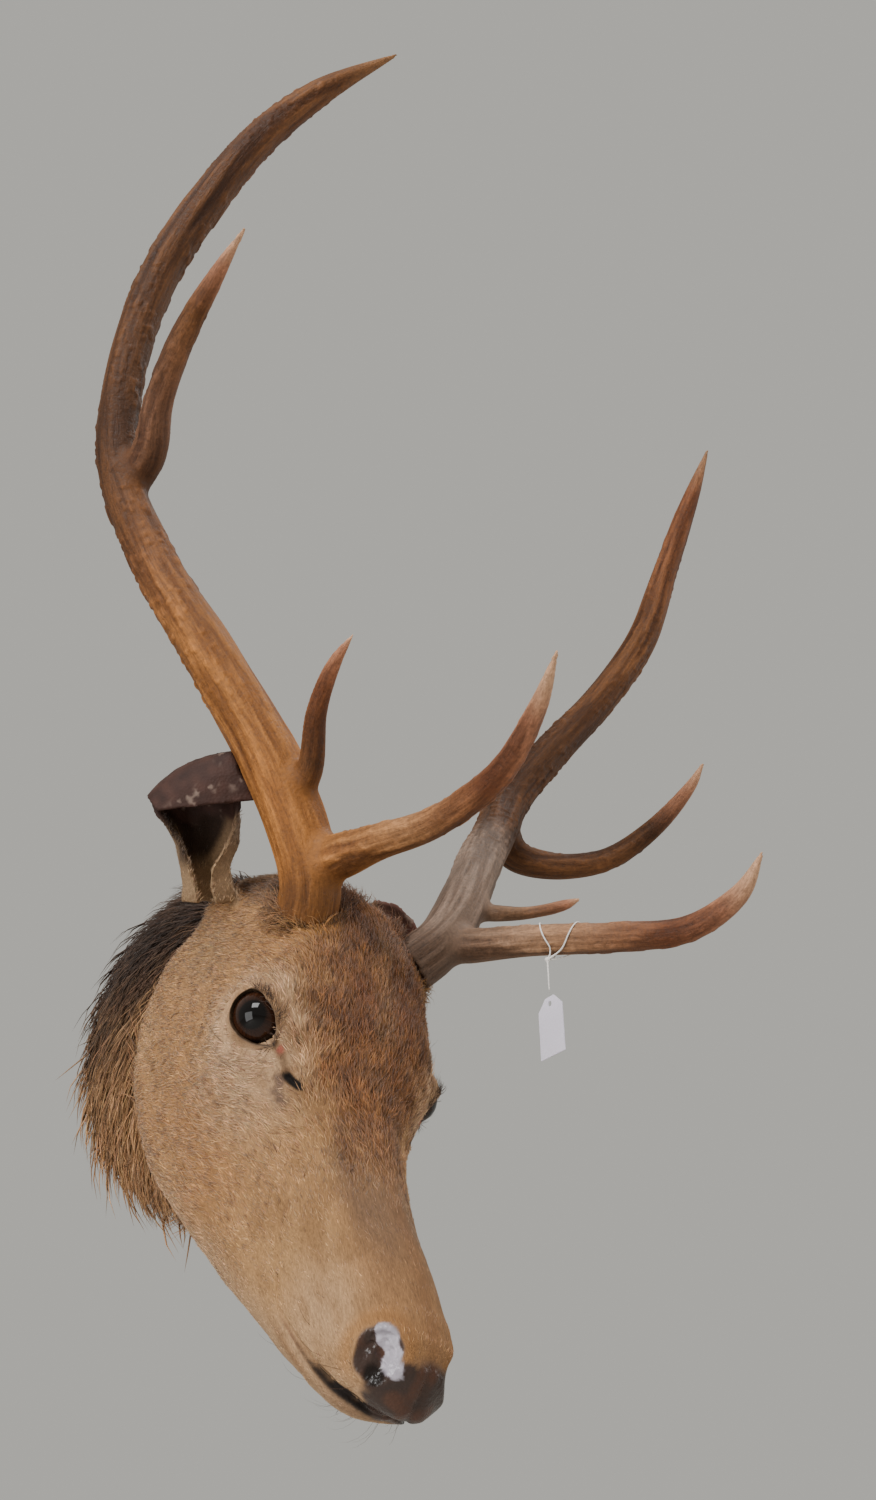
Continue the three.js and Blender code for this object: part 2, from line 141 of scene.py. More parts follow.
def make(name, co, faces, smooth=True):
    """An object from points in metres and an array of faces, or a list of such arrays."""
    groups = faces if isinstance(faces, list) else [faces]
    mesh = bpy.data.meshes.new(name)
    mesh.vertices.add(len(co))
    move_points(mesh, co)
    corners = np.concatenate([g.ravel() for g in groups])
    sizes = np.concatenate([np.full(len(g), g.shape[1]) for g in groups])
    mesh.loops.add(len(corners))
    mesh.loops.foreach_set("vertex_index", corners.astype(np.int32))
    mesh.polygons.add(len(sizes))
    mesh.polygons.foreach_set("loop_start", (np.cumsum(sizes) - sizes).astype(np.int32))
    mesh.update(calc_edges=True)
    shade_smooth(mesh, smooth)
    return placed(name, mesh)


def move_points(mesh, co):
    mesh.vertices.foreach_set("co", np.asarray(co, np.float32).ravel())


def shade_smooth(mesh, smooth=True):
    mesh.polygons.foreach_set("use_smooth", np.full(len(mesh.polygons), smooth))


def fetch(items, field, per_item, kind=np.int32):
    """One field of many items, as an array with a row for each item."""
    values = np.empty(len(items) * per_item, kind)
    items.foreach_get(field, values)
    return values.reshape(-1, per_item) if per_item > 1 else values


def points_of(mesh):
    return fetch(mesh.vertices, "co", 3, np.float32).astype(float)


def triangles_of(mesh):
    mesh.calc_loop_triangles()
    return fetch(mesh.loop_triangles, "vertices", 3)


def edges_of(mesh):
    return fetch(mesh.edges, "vertices", 2)


def normals_of(co, tris):
    a, b, c = (co[tris[:, k]] for k in range(3))
    face = np.cross(b - a, c - a)
    total = np.zeros_like(co)
    for k in range(3):
        for axis in range(3):
            total[:, axis] += np.bincount(tris[:, k], face[:, axis], len(co))
    return unit(total)


def with_modifiers(obj):
    """The object's mesh with its modifiers applied; the object itself is deleted."""
    graph = bpy.context.evaluated_depsgraph_get()
    mesh, old = bpy.data.meshes.new_from_object(obj.evaluated_get(graph)), obj.data
    bpy.data.objects.remove(obj)
    bpy.data.meshes.remove(old)
    return mesh


def voxels(co, tris, size):
    """One closed skin round all the closed shapes in a triangle mesh."""
    obj = make("voxels", co, tris)
    modifier = obj.modifiers.new("voxels", "REMESH")
    modifier.mode, modifier.voxel_size = "VOXEL", size
    return with_modifiers(obj)


def spread(values, edges, rounds, share=0.6):
    """Values of the points, averaged with their neighbours' for some rounds."""
    values = np.asarray(values, float)
    count = len(values)
    flat = values.reshape(count, -1).copy()
    a, b = edges.T
    links = np.maximum(np.bincount(a, minlength=count) + np.bincount(b, minlength=count), 1)
    share = np.broadcast_to(np.asarray(share, float), count)
    for _ in range(rounds):
        for k in range(flat.shape[1]):
            mean = (np.bincount(a, flat[b, k], count) + np.bincount(b, flat[a, k], count)) / links
            flat[:, k] += (mean - flat[:, k]) * share
    return flat.reshape(values.shape)


def smoothed(co, edges, rounds, share):
    """Smooths points without shrinking the shape; share is how much each point takes part."""
    for _ in range(rounds):
        co = spread(co, edges, 1, 0.55 * share)
        co = spread(co, edges, 1, -0.57 * share)
    return co


def put(mesh, name, values, kind="FLOAT"):
    """A point attribute: FLOAT, FLOAT_VECTOR or FLOAT_COLOR."""
    layer = mesh.attributes.new(name, kind, "POINT")
    values = np.asarray(values, np.float32)
    if kind == "FLOAT_COLOR":
        values = np.concatenate([values, np.ones((len(values), 1), np.float32)], 1)
        layer.data.foreach_set("color", values.ravel())
    else:
        layer.data.foreach_set("vector" if kind == "FLOAT_VECTOR" else "value", values.ravel())


def read(mesh, name):
    return fetch(mesh.attributes[name].data, "value", 1, np.float32).astype(float)


def frame_mesh(node):
    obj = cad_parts[node]
    co = points_of(obj.data)
    turn = np.array(obj.matrix_world)
    return co @ turn[:3, :3].T + turn[:3, 3], triangles_of(obj.data)


def joined(parts):
    """Several (points, faces) as one."""
    points, faces, start = [], [], 0
    for co, tris in parts:
        points.append(co)
        faces.append(tris + start)
        start += len(co)
    return np.concatenate(points), np.concatenate(faces)


def finished(obj, material, slot, *nodes):
    obj.data.materials.append(material)
    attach(obj, "root")
    if nodes:
        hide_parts(*nodes)
    return obj


# ---- materials
class Shader:
    """A material, with short ways to add nodes and join them to its surface."""

    def __init__(self, name, roughness, **settings):
        self.material = bpy.data.materials.new(name)
        self.material.use_nodes = True
        self.tree = self.material.node_tree
        self.surface = self.tree.nodes["Principled BSDF"].inputs
        self.surface["Roughness"].default_value = roughness
        for key, value in settings.items():
            self.surface[key.replace("_", " ")].default_value = value

    def add(self, kind, inputs=None, **fields):
        made = self.tree.nodes.new("ShaderNode" + kind)
        for key, value in fields.items():
            setattr(made, key, value)
        for key, value in (inputs or {}).items():
            if isinstance(value, bpy.types.NodeSocket):
                self.tree.links.new(value, made.inputs[key])
            else:
                made.inputs[key].default_value = value
        return made.outputs

    def attribute(self, name, what="Fac"):
        return self.add("Attribute", attribute_name=name)[what]

    def place(self):
        return self.add("TexCoord")["Object"]

    def noise(self, vector, scale, detail, rough=0.55):
        return self.add("TexNoise", {"Vector": vector, "Scale": scale, "Detail": detail,
                                     "Roughness": rough})["Fac"]

    def remap(self, value, low, high, to_low, to_high):
        return self.add("MapRange", {"Value": value, "From Min": low, "From Max": high, "To Min": to_low,
                                     "To Max": to_high})["Result"]

    def mix(self, share, one, other):
        return self.add("Mix", {"Factor": share, 2: one, 3: other})[0]

    def maths(self, operation, one, other):
        return self.add("Math", {0: one, 1: other}, operation=operation)[0]

    def paint(self, tint, brightness):
        painted = self.add("VectorMath", {0: tint, "Scale": brightness}, operation="SCALE")["Vector"]
        self.tree.links.new(painted, self.surface["Base Color"])

    def roughen(self, value):
        self.tree.links.new(value, self.surface["Roughness"])

    def bump(self, height, distance, strength):
        made = self.add("Bump", {"Height": height, "Distance": distance, "Strength": strength})
        self.tree.links.new(made["Normal"], self.surface["Normal"])


@cache
def skin_material():
    """The hide: streaks that follow the lie of the hair, and smooth pebbles where it is bare."""
    hide = Shader("hide", 0.8, Specular_IOR_Level=0.3)
    lie, bare = hide.attribute("lie", "Vector"), hide.attribute("bare")
    streaks = hide.maths("ADD", hide.noise(lie, 1.0, 3.0), hide.noise(lie, 2.6, 2.0))
    pebbles = hide.add("TexVoronoi", {"Vector": hide.place(), "Scale": 520.0})["Distance"]
    hide.paint(hide.attribute("tint", "Color"), hide.mix(bare, hide.remap(streaks, 0.6, 1.4, 0.58, 1.4), 1.0))
    hide.roughen(hide.attribute("dull"))
    hide.bump(hide.mix(bare, streaks, hide.maths("MULTIPLY", pebbles, 0.45)), 0.0007, 0.8)
    return hide.material


@cache
def hair_material():
    hair = Shader("hair", 0.62, Specular_IOR_Level=0.35, Sheen_Weight=0.12)
    speck = hair.noise(hair.place(), 260.0, 2.0)
    hair.paint(hair.attribute("tint", "Color"), hair.remap(speck, 0.3, 0.7, 0.82, 1.18))
    return hair.material


@cache
def antler_material():
    """Horn: fine lengthwise streaks that fade at the forks, with specks all over."""
    horn = Shader("antler", 0.6, Specular_IOR_Level=0.22)
    grain = horn.noise(horn.attribute("grain", "Vector"), 0.8, 4.0, 0.65)
    streak = horn.mix(horn.attribute("fork"), grain, 0.5)
    speck = horn.noise(horn.place(), 420.0, 3.0)
    shade = horn.remap(horn.mix(0.38, streak, speck), 0.36, 0.64, 0.64, 1.34)
    horn.paint(horn.attribute("tint", "Color"), shade)
    horn.roughen(horn.remap(speck, 0.3, 0.7, 0.45, 0.72))
    horn.bump(horn.maths("ADD", streak, speck), 0.0008, 0.8)
    return horn.material


@cache
def eye_material():
    """Glass over a black pupil and a brown iris, whose rays are lighter and darker."""
    glass = Shader("eye_glass", 0.04, Specular_IOR_Level=0.28)
    ray = glass.noise(glass.attribute("spoke", "Vector"), 14.0, 3.0)
    iris = glass.add("ValToRGB", {"Fac": glass.remap(glass.attribute("iris"), 0, 90, 0, 1)})["Color"]
    stops = iris.node.color_ramp.elements
    for k, (place, hexa) in enumerate(((0.0, "070505"), (0.30, "0a0605"), (0.36, "24130b"), (0.52, "331c10"),
                                       (0.62, "140b07"), (0.8, "0a0605"))):
        stop = stops[k] if k < 2 else stops.new(place)
        stop.position = place
        stop.color = (*colour(hexa), 1)
    glass.paint(iris, glass.remap(ray, 0.3, 0.7, 0.55, 1.5))
    return glass.material


# ---- places on the face, on the stag's own right
EYE = np.array([88.0, 68.5, -53.0])
EYE_RADIUS = 18.0
EYE_OUT = unit(np.array([0.52, 0.80, 0.28]))
LID_ALONG = unit(along(np.array([0.82, -0.39, -0.41]), EYE_OUT))
LID_UP = np.cross(EYE_OUT, LID_ALONG)
LID_UP = LID_UP * np.sign(LID_UP[2])
# Reach of the opening between the lids at each angle, in degrees from the front of the eye towards the top.
LID_EDGE = [(-180, 16.6), (-137, 16.4), (-101, 14.6), (-58, 13.4), (-25, 14.6), (-8, 16.2), (10, 18.6),
            (22, 21.5), (34, 18.4), (61, 14.4), (95, 12.4), (126, 11.8), (155, 14.2), (180, 16.6)]
DUCT = [[113, 66, -48], [119, 62, -49], [125, 58, -51.5], [131, 54.5, -53.3]]
CARUNCLE = np.array([116.5, 63.4, -48.0])
GLAND = [[129, 56.2, -53.8], [132, 54, -53.2], [136, 50.5, -51.6]]
ACROSS_FACE = np.array([1, 0.25, 1])      # weighs down the depth of a sunken place
BARE = [[130, 59, -58], [135, 58, -63], [141, 55, -63]]
MOUTH = [[200, 46, -92], [219, 43, -103], [239, 37.5, -109.5], [256, 35, -104.5], [271, 32.5, -99],
         [285, 28, -93], [299, 20, -85.5], [307, 10, -80], [311, 0, -78]]
MOUTH_FOLD = [[219, 43, -103], [206, 46, -92], [196, 47, -78]]
BURR = np.array([8.0, 52.0, -8.0])
NOSTRIL = np.array([292.0, 26.0, -60.5])
NOSTRIL_REACH = np.array([13.5, 12.0, 15.0])
NOSE_PAD = np.array([304.0, 0.0, -68.0])
NOSE_PAD_REACH = np.array([21.0, 29.0, 19.0])
# Hollows in the nostril, pressed in and painted dark as shade: [place, reach, depth].
HOLLOWS = (([289, 30, -64], 3.6, 3.0), ([289.5, 25.5, -57.5], 2.6, 2.2), ([299, 25.5, -67], 7.0, 4.2),
           ([293, 22.5, -57], 1.9, 1.8))
FLAKE = [[286, 25, -54.5], [292, 22, -57], [298, 18, -59.5]]
EAR_ROOT_AT = np.array([-38.0, 85.0, -52.0])
EAR_UP, EAR_ACROSS = np.array([-0.50, 0.52, 0.69]), np.array([0.28, -0.66, 0.70])


def mirrored(h):
    """Places in the head with both sides folded onto one: [ahead, distance aside, up]."""
    return np.stack([h[:, 0], np.abs(h[:, 1]), h[:, 2]], -1)


def side_of(raw):
    """-1 on the stag's right and 1 on its left."""
    return np.where(raw[:, 1] < 0, -1.0, 1.0)


def from_path(points, path):
    """Distance of points from a bent line, and how far along it, from 0 to 1, the nearest place is."""
    path = np.asarray(path, float)
    steps = path[1:] - path[:-1]
    lengths = np.linalg.norm(steps, axis=1)
    starts = np.concatenate([[0], np.cumsum(lengths)])[:-1]
    best, share = np.full(len(points), 1e9), np.zeros(len(points))
    for start, step, length, before in zip(path, steps, lengths, starts):
        t = np.clip(((points - start) @ step) / length**2, 0, 1)
        away = np.linalg.norm(points - start - t[:, None] * step, axis=1)
        closer = away < best
        best = np.where(closer, away, best)
        share = np.where(closer, (before + t * length) / lengths.sum(), share)
    return best, share


def off_path(points, path):
    return from_path(points, path)[0]


def nostril_reach(h):
    """Distance from the nostril's middle, as a share of its reach."""
    return np.linalg.norm((h - NOSTRIL) / NOSTRIL_REACH, axis=1)


def under_lips(h):
    """Whether places lie below the line between the lips."""
    return h[:, 2] < curve_at([(a, u) for a, _, u in MOUTH], h[:, 0])


def lip_band(h):
    """1 on the bare lips and the gap between them: a thin line at the mouth's corner, a broad dark band
    towards the front.
    """
    mouth, share = from_path(h, MOUTH)
    broad = curve_at([(0.1, 1.0), (0.35, 1.8), (0.55, 2.7), (0.7, 4.2), (1.0, 6.2)], share)
    reach = np.where(under_lips(h), broad, 0.35 * broad + 0.6)
    return ease(1.35, 0.7, mouth / reach) * ease(0.12, 0.26, share)


def eye_frame(h):
    """Mirrored places as seen from the eye: how far up, out and away, and how far past the lids' edge."""
    q = h - EYE
    x, y, z = q @ LID_ALONG, q @ LID_UP, q @ EYE_OUT
    reach = np.hypot(x, y)
    return y, z, reach, reach - curve_at(LID_EDGE, np.degrees(np.arctan2(y, x)))


# ---- skin: one closed surface over all the flesh
FLESH = ("head", "muzzle", "lower_jaw", "nose_pad", "neck", "ear_right", "ear_left")
NOSE_MASK, NECK_MASK, EAR_R_MASK, EAR_L_MASK = range(3, 7)      # columns of the masks, in FLESH's order
VOXEL = 0.0020
GROWN = 0.0005           # closes the gaps between the nodes
THINNED = 0.71           # share of the faces that is kept
NEAR_ROUNDS, WIDE_ROUNDS, SKIN_ROUNDS = 6, 40, 70     # rounds of averaging and of smoothing
COAT_DEPTH, BROW_DEPTH, MANE_DEPTH = 2.0, 1.6, 13.0             # millimetres; the brow's comes on top
BOARD_HALF = (0.077, 0.108)                                     # half sizes of the board's pocket


def ears_of(masks):
    return masks[:, EAR_R_MASK] + masks[:, EAR_L_MASK]


def welded(co, tris):
    """The mesh with points that share a place joined."""
    _, first, back = np.unique(np.round(co, 6), axis=0, return_index=True, return_inverse=True)
    tris = back.reshape(-1)[tris]
    keep = (tris[:, 0] != tris[:, 1]) & (tris[:, 1] != tris[:, 2]) & (tris[:, 2] != tris[:, 0])
    return co[first], tris[keep]


def grown(node):
    co, tris = welded(*frame_mesh(node))
    return co + normals_of(co, tris) * GROWN, tris


def pebble(place, radius):
    """A small ball in the head, as points and faces."""
    bm = bmesh.new()
    bmesh.ops.create_icosphere(bm, subdivisions=3, radius=1)
    co = np.array([v.co for v in bm.verts]) * radius
    tris = np.array([[v.index for v in f.verts] for f in bm.faces])
    bm.free()
    return from_head(co + place), tris


def nearest_node(co):
    """For each point, which flesh node lies nearest."""
    best, label = np.full(len(co), 1e9), np.zeros(len(co), int)
    for k, node in enumerate(FLESH):
        points, tris = frame_mesh(node)
        tree = BVHTree.FromPolygons(points.tolist(), tris.tolist())
        away = np.array([tree.find_nearest(p)[3] for p in co.tolist()])
        label = np.where(away < best, k, label)
        best = np.minimum(best, away)
    return label


def base_skin():
    """One closed skin round the flesh, the eyes and the roots of the antlers."""
    parts = [grown(node) for node in (*FLESH, "eye_right", "eye_left")]
    parts += [pebble([12, side * 47, -24], 24) for side in (-1, 1)]
    return thinned(voxels(*joined(parts), VOXEL))


def thinned(mesh):
    """Fewer faces on the neck, which long hair covers."""
    co = points_of(mesh)
    h = to_head(co)
    obj = placed("thinned", mesh)
    covered = np.flatnonzero((h[:, 0] < -30) & (h[:, 2] < -60) | (co[:, 1] > -0.05))
    obj.vertex_groups.new(name="covered").add(covered.tolist(), 1.0, "REPLACE")
    modifier = obj.modifiers.new("thinned", "DECIMATE")
    modifier.vertex_group, modifier.ratio = "covered", THINNED
    return with_modifiers(obj)


mesh = base_skin()
co, edges, tris = points_of(mesh), edges_of(mesh), triangles_of(mesh)
labels = nearest_node(co)
masks = np.stack([(labels == k) for k in range(len(FLESH))], -1).astype(float)
masks = spread(masks, edges, NEAR_ROUNDS)
wide = spread(masks, edges, WIDE_ROUNDS)


# ---- smoothing and the coat's depth
def smooth_flesh(co, edges, masks):
    """Smooths the skin, but hardly the ears and the flat back, and the nose only a little."""
    share = np.clip(1 - 0.93 * ease(0.1, 0.6, ears_of(masks)) - 0.55 * masks[:, NOSE_MASK], 0.05, 1)
    flat_back = ease(-0.006, -0.002, co[:, 1])
    return smoothed(co, edges, SKIN_ROUNDS, share * (1 - 0.97 * flat_back))


def coat_depth(co, normals, masks, wide):
    """How far under the coat's outline the skin lies, in metres."""
    h = mirrored(to_head(co))
    depth = COAT_DEPTH + BROW_DEPTH * forehead(h)
    depth = depth + (MANE_DEPTH - depth) * ease(0.15, 0.85, wide[:, NECK_MASK])
    depth = depth * (1 - 0.5 * close_to(h, EYE, 45)) * (1 - 0.75 * ease(0.1, 0.5, ears_of(masks)))
    depth = depth * (1 - ease(0.05, 0.4, wide[:, NOSE_MASK])) * (1 - 0.6 * ease(230, 300, h[:, 0]))
    depth = depth * (1 - ease(0.2, 0.7, normals[:, 1] * (co[:, 1] > -0.02)))
    pocket = (co[:, 0] / BOARD_HALF[0]) ** 2 + (co[:, 2] / BOARD_HALF[1]) ** 2 < 1
    return np.where(pocket & (co[:, 1] > -0.022), 0, depth) * MM


def forehead(h):
    """1 on the longer rufous hair of the forehead, between the eyes and the antlers."""
    half = curve_at([(-60, 30), (-20, 50), (43, 52), (92, 53), (127, 40), (154, 27), (175, 27), (193, 22),
                     (210, 10)], h[:, 0])
    top = curve_at([(-60, -60), (0, -38), (95, -40), (150, -56), (210, -58)], h[:, 0])
    ragged = 24 * (noise(h, 12, 3) - 0.5)
    inside = 1 - ease(-20, 16, h[:, 1] - half + ragged)
    return inside * ease(-12, 16, h[:, 2] - top - ragged) * (1 - ease(120, 215, h[:, 0] + ragged))


co = smooth_flesh(co, edges, masks)
normals = normals_of(co, tris)
depth = spread(coat_depth(co, normals, masks, wide), edges, 8)
move_points(mesh, co - normals * depth[:, None])
for k in range(len(FLESH)):
    put(mesh, f"mask{k}", masks[:, k])
    put(mesh, f"wide{k}", wide[:, k])


# ---- finer faces where the lids, nostrils, lips and glands are
def refine(mesh, wanted):
    """Halves the edges between the wanted places."""
    bm = bmesh.new()
    bm.from_mesh(mesh)
    bm.verts.ensure_lookup_table()
    chosen = wanted(mirrored(to_head(points_of(mesh))))
    picked = [e for e in bm.edges if chosen[e.verts[0].index] and chosen[e.verts[1].index]]
    bmesh.ops.subdivide_edges(bm, edges=picked, cuts=1, use_grid_fill=True)
    bm.to_mesh(mesh)
    bm.free()


def by_lids(h, spare):
    _, z, reach, past = eye_frame(h)
    return (np.abs(past) < spare) & (reach < 27) & (z > -4)


def fine_places(h):
    nostril = np.linalg.norm((h - NOSTRIL) / [1.3, 1.2, 1.5], axis=1)
    return by_lids(h, 7) | (off_path(h, MOUTH) < 5) | (off_path(h, GLAND) < 7) | (nostril < 14)


def finest_places(h):
    return by_lids(h, 2.6) | (off_path(h, GLAND) < 3)


refine(mesh, fine_places)
refine(mesh, finest_places)


# ---- the form of the face
def lids(h, z_natural):
    """Height of the skin out from the eye's middle, over the eyeball and round the opening."""
    _, _, reach, past = eye_frame(h)
    over = np.sqrt(np.maximum((EYE_RADIUS + 2.3) ** 2 - reach**2, 0))
    ball = np.sqrt(np.maximum(EYE_RADIUS**2 - reach**2, 0))
    soft = 3.0
    outer = np.logaddexp(over / soft, z_natural / soft) * soft - 0.35 * soft * near(reach, 18, 10)
    outer = z_natural + (outer - z_natural) * (1 - ease(6, 15, past))
    outer = outer - 0.9 * near(past, 3.2, 1.6) * (1 - ease(0, 10, past))
    inner = np.minimum(np.where(reach < EYE_RADIUS, ball - 3.0, 0), z_natural - 2.5)
    inner = np.where(reach > 16.5, np.minimum(z_natural - 2.6, outer), inner)
    rim = outer + 0.5 * near(past, 0.9, 1.1)
    return inner + (rim - inner) * ease(-0.9, 0.7, past)


# Bones, muscles and slack skin: [path, reach, how far out it stands].
RELIEF = (([[60, 82, -78], [110, 74, -82], [160, 55, -84], [205, 45, -82]], 20, 2.0),       # cheek crest
          ([[150, 60, -112], [190, 50, -108], [225, 42, -98]], 24, -2.2),                   # hollow cheek
          ([[30, 66, -168], [90, 60, -168], [150, 46, -152]], 22, 1.6),                     # jaw's edge
          ([[20, 66, -30], [50, 68, -26]], 20, -2.6),                                       # temple
          (MOUTH_FOLD, 5, -1.0),
          (BARE, 8, -0.5),
          (GLAND, 2.8, -4.6))
NOSTRIL_TURN = np.array([[0.86, 0.0, 0.5], [0, 1, 0], [-0.5, 0, 0.86]])
NOSTRIL_IN = np.array([-0.55, -0.8, 0.2])


def sculpt(co):
    """How far each point moves in the head, and how far out its small lumps stand, in millimetres."""
    raw = to_head(co)
    h = mirrored(raw)
    ahead, aside, up = h.T
    move = np.zeros_like(h)

    _, z, reach, _ = eye_frame(h)
    by_eye = (reach < 32) & (z > -12) & (aside > 35)
    rise = np.where(by_eye, lids(h, z) - z, 0) * (1 - ease(24, 31, reach))
    move += rise[:, None] * EYE_OUT
    duct, share = from_path(h, DUCT)
    move[:, 1] -= 1.6 * near(duct, 0, 3.2) * (0.6 + 0.4 * share)
    move[:, 1] += 0.9 * near(off_path(h, GLAND), 4.2, 2.4)
    for path, wide_relief, out in RELIEF:
        move[:, 1] += out * near(off_path(h, path), 0, wide_relief)

    mouth, share = from_path(h, MOUTH)
    towards_front = ease(0.4, 0.8, share)
    groove = near(mouth, 0, 2.3 + 2.2 * towards_front) * (2.8 + 2.6 * towards_front)
    move[:, 1] -= groove * ease(0.02, 0.25, share) * ease(0, 8, aside)
    move[:, 0] -= groove * ease(12, 2, aside)
    swollen = near(mouth, 8, 7) * np.where(under_lips(h), 1.0, 0.25) * ease(0.2, 0.45, share)
    move[:, 1] += 1.5 * swollen * ease(0, 8, aside)

    q = (h - NOSTRIL) @ NOSTRIL_TURN.T
    oval = np.hypot(q[:, 0] / 9.5, q[:, 2] / 12.0)
    by = (np.abs(q[:, 1]) < 16) & (aside > 8)
    inward = 3.6 * (1 - ease(0.62, 1.0, oval)) - 1.1 * near(oval, 1.14, 0.26)
    for hole, wide_hole, deep in HOLLOWS:
        inward = inward + deep * close_to(h, hole, wide_hole)
    inward = inward - 1.4 * ease(8.5, 4.0, off_path(h, FLAKE)) * (raw[:, 1] < 0)
    move += np.where(by, inward, 0)[:, None] * NOSTRIL_IN
    move[:, 0] -= 1.8 * near(aside, 0, 4) * ease(285, 306, ahead) * ease(-92, -74, up)

    lump = (noise(raw, 26, 1) - 0.5) * 2.4 + (noise(raw, 11, 2) - 0.5) * 0.9
    quiet = ease(3, 9, mouth) * ease(1.1, 1.5, np.where(by, oval, 9)) * ease(14, 26, reach)
    move[:, 1] *= side_of(raw)
    return move, lump * quiet


co = points_of(mesh)
tris = triangles_of(mesh)
masks = np.stack([read(mesh, f"mask{k}") for k in range(len(FLESH))], -1)
wide = np.stack([read(mesh, f"wide{k}") for k in range(len(FLESH))], -1)
flesh = np.clip(1 - masks[:, NECK_MASK] - ears_of(masks), 0, 1)
move, lump = sculpt(co)
normals = normals_of(co, tris)
co = co + turn_from_head(move) * MM * flesh[:, None]
co = co + normals * (lump * MM * flesh * (1 - wide[:, NOSE_MASK]))[:, None]
move_points(mesh, co)
shade_smooth(mesh)
skin = placed("skin", mesh)


# ---- antlers: one smooth piece a side
# Controls are [ahead, aside, up, radius] in millimetres; aside is away from the middle plane.
ANTLERS = {
    "right": {
        "side": -1,
        "beam": [[16, 48, -14, 21], [5, 61, 7, 20.5], [-50, 97, 31, 21.5], [-128, 148, 45, 20],
                 [-229, 214, 58, 17.7], [-299, 260, 83, 16.6], [-361, 291, 137, 15.2],
                 [-416, 308, 204, 15.6], [-452, 311, 265, 15.3], [-491, 306, 341, 14],
                 [-515, 289, 410, 10.4], [-529, 260, 480, 1.2]],
        "brow_tine": [[-4, 61, 8, 17], [11, 61, 34, 15.5], [27, 59, 62, 12], [52, 56, 104, 9.8],
                      [74, 65, 159, 8.3], [86, 88, 203, 5.6], [94, 112, 235, 1]],
        "bez_tine": [[-34, 84, 24, 12], [-36, 98, 58, 9], [-39, 122, 91, 6.9], [-38, 137, 123, 4.5],
                     [-35, 143, 146, 1]],
        "tray_tine": [[-290, 246, 70, 15], [-281, 253, 109, 13.5], [-279, 272, 142, 11],
                      [-271, 290, 187, 9.8], [-255, 304, 241, 5.8], [-243, 312, 278, 1]],
    },
    "left": {
        "side": 1,
        "beam": [[16, 45, -6, 20], [4, 59, 18, 19.5], [-45, 85, 42, 18.6], [-105, 119, 52, 18.8],
                 [-183, 170, 60, 19.2], [-235, 196, 80, 19], [-273, 218, 129, 18.3],
                 [-313, 244, 199, 16.4], [-351, 255, 273, 15.6], [-398, 244, 346, 12.4],
                 [-432, 229, 411, 9], [-456, 214, 463, 1.2]],
        "brow_tine": [[-2, 58, 12, 17], [16, 68, 33, 13], [38, 86, 71, 11], [68, 110, 119, 10.4],
                      [90, 126, 159, 9], [98, 125, 200, 6.6], [96, 112, 231, 1]],
        "bez_tine": [[-38, 82, 34, 11], [-24, 93, 48, 7.5], [-12, 109, 69, 5], [-3, 122, 95, 4],
                     [-1, 126, 106, 1.2]],
        "tray_tine": [[-224, 194, 62, 17], [-201, 217, 50, 15.5], [-181, 240, 66, 12.6],
                      [-160, 264, 108, 10.8], [-153, 270, 160, 8.8], [-154, 264, 213, 5],
                      [-157, 257, 235, 1.2]],
    },
}
BRANCHES = ("beam", "brow_tine", "bez_tine", "tray_tine")
GOLDEN, TAN, BROWN, DEEP, ASHEN, IVORY = colours("9a6330 8d6340 6b4426 4a2d17 806a5b c79a78")
RED_BROWN, BLUSH, FADED, DUSKY = colours("7a4a2e a06c50 8d6a4e 75503a")
# Tones from the base of a branch to its tip, as [share of its length, tone].
ANTLER_TONES = {
    "right": {"beam": [(0, GOLDEN), (0.2, GOLDEN), (0.34, BROWN), (0.46, DEEP), (0.93, BROWN), (1, TAN)],
              "brow_tine": [(0, GOLDEN), (0.35, TAN), (0.62, RED_BROWN), (0.82, BLUSH), (0.93, IVORY)],
              "bez_tine": [(0, GOLDEN), (0.3, BROWN), (0.7, RED_BROWN), (0.93, BLUSH), (1, IVORY)],
              "tray_tine": [(0, DEEP), (0.35, DUSKY), (0.7, BROWN), (0.86, BLUSH), (0.97, IVORY)]},
    "left": {"beam": [(0, ASHEN), (0.2, ASHEN), (0.32, DEEP), (0.5, DEEP), (0.7, BROWN), (0.93, RED_BROWN),
                      (1, FADED)],
             "brow_tine": [(0, ASHEN), (0.35, FADED), (0.66, RED_BROWN), (0.82, BLUSH), (0.94, IVORY)],
             "bez_tine": [(0, ASHEN), (0.5, FADED), (0.9, BLUSH), (1, IVORY)],
             "tray_tine": [(0, DEEP), (0.35, BROWN), (0.7, DEEP), (0.88, BLUSH), (1, IVORY)]},
}
ANTLER_VOXEL = 0.0017
BRANCH_GAP = 0.7     # keeps the grain of one branch from the next one's
WEB_ROUNDS = 5       # rounds that fill the hollow in the crook of each fork
FORK_ROUNDS, CROOK_ROUNDS = 45, 60      # how far a fork and its crook reach, in rounds of averaging


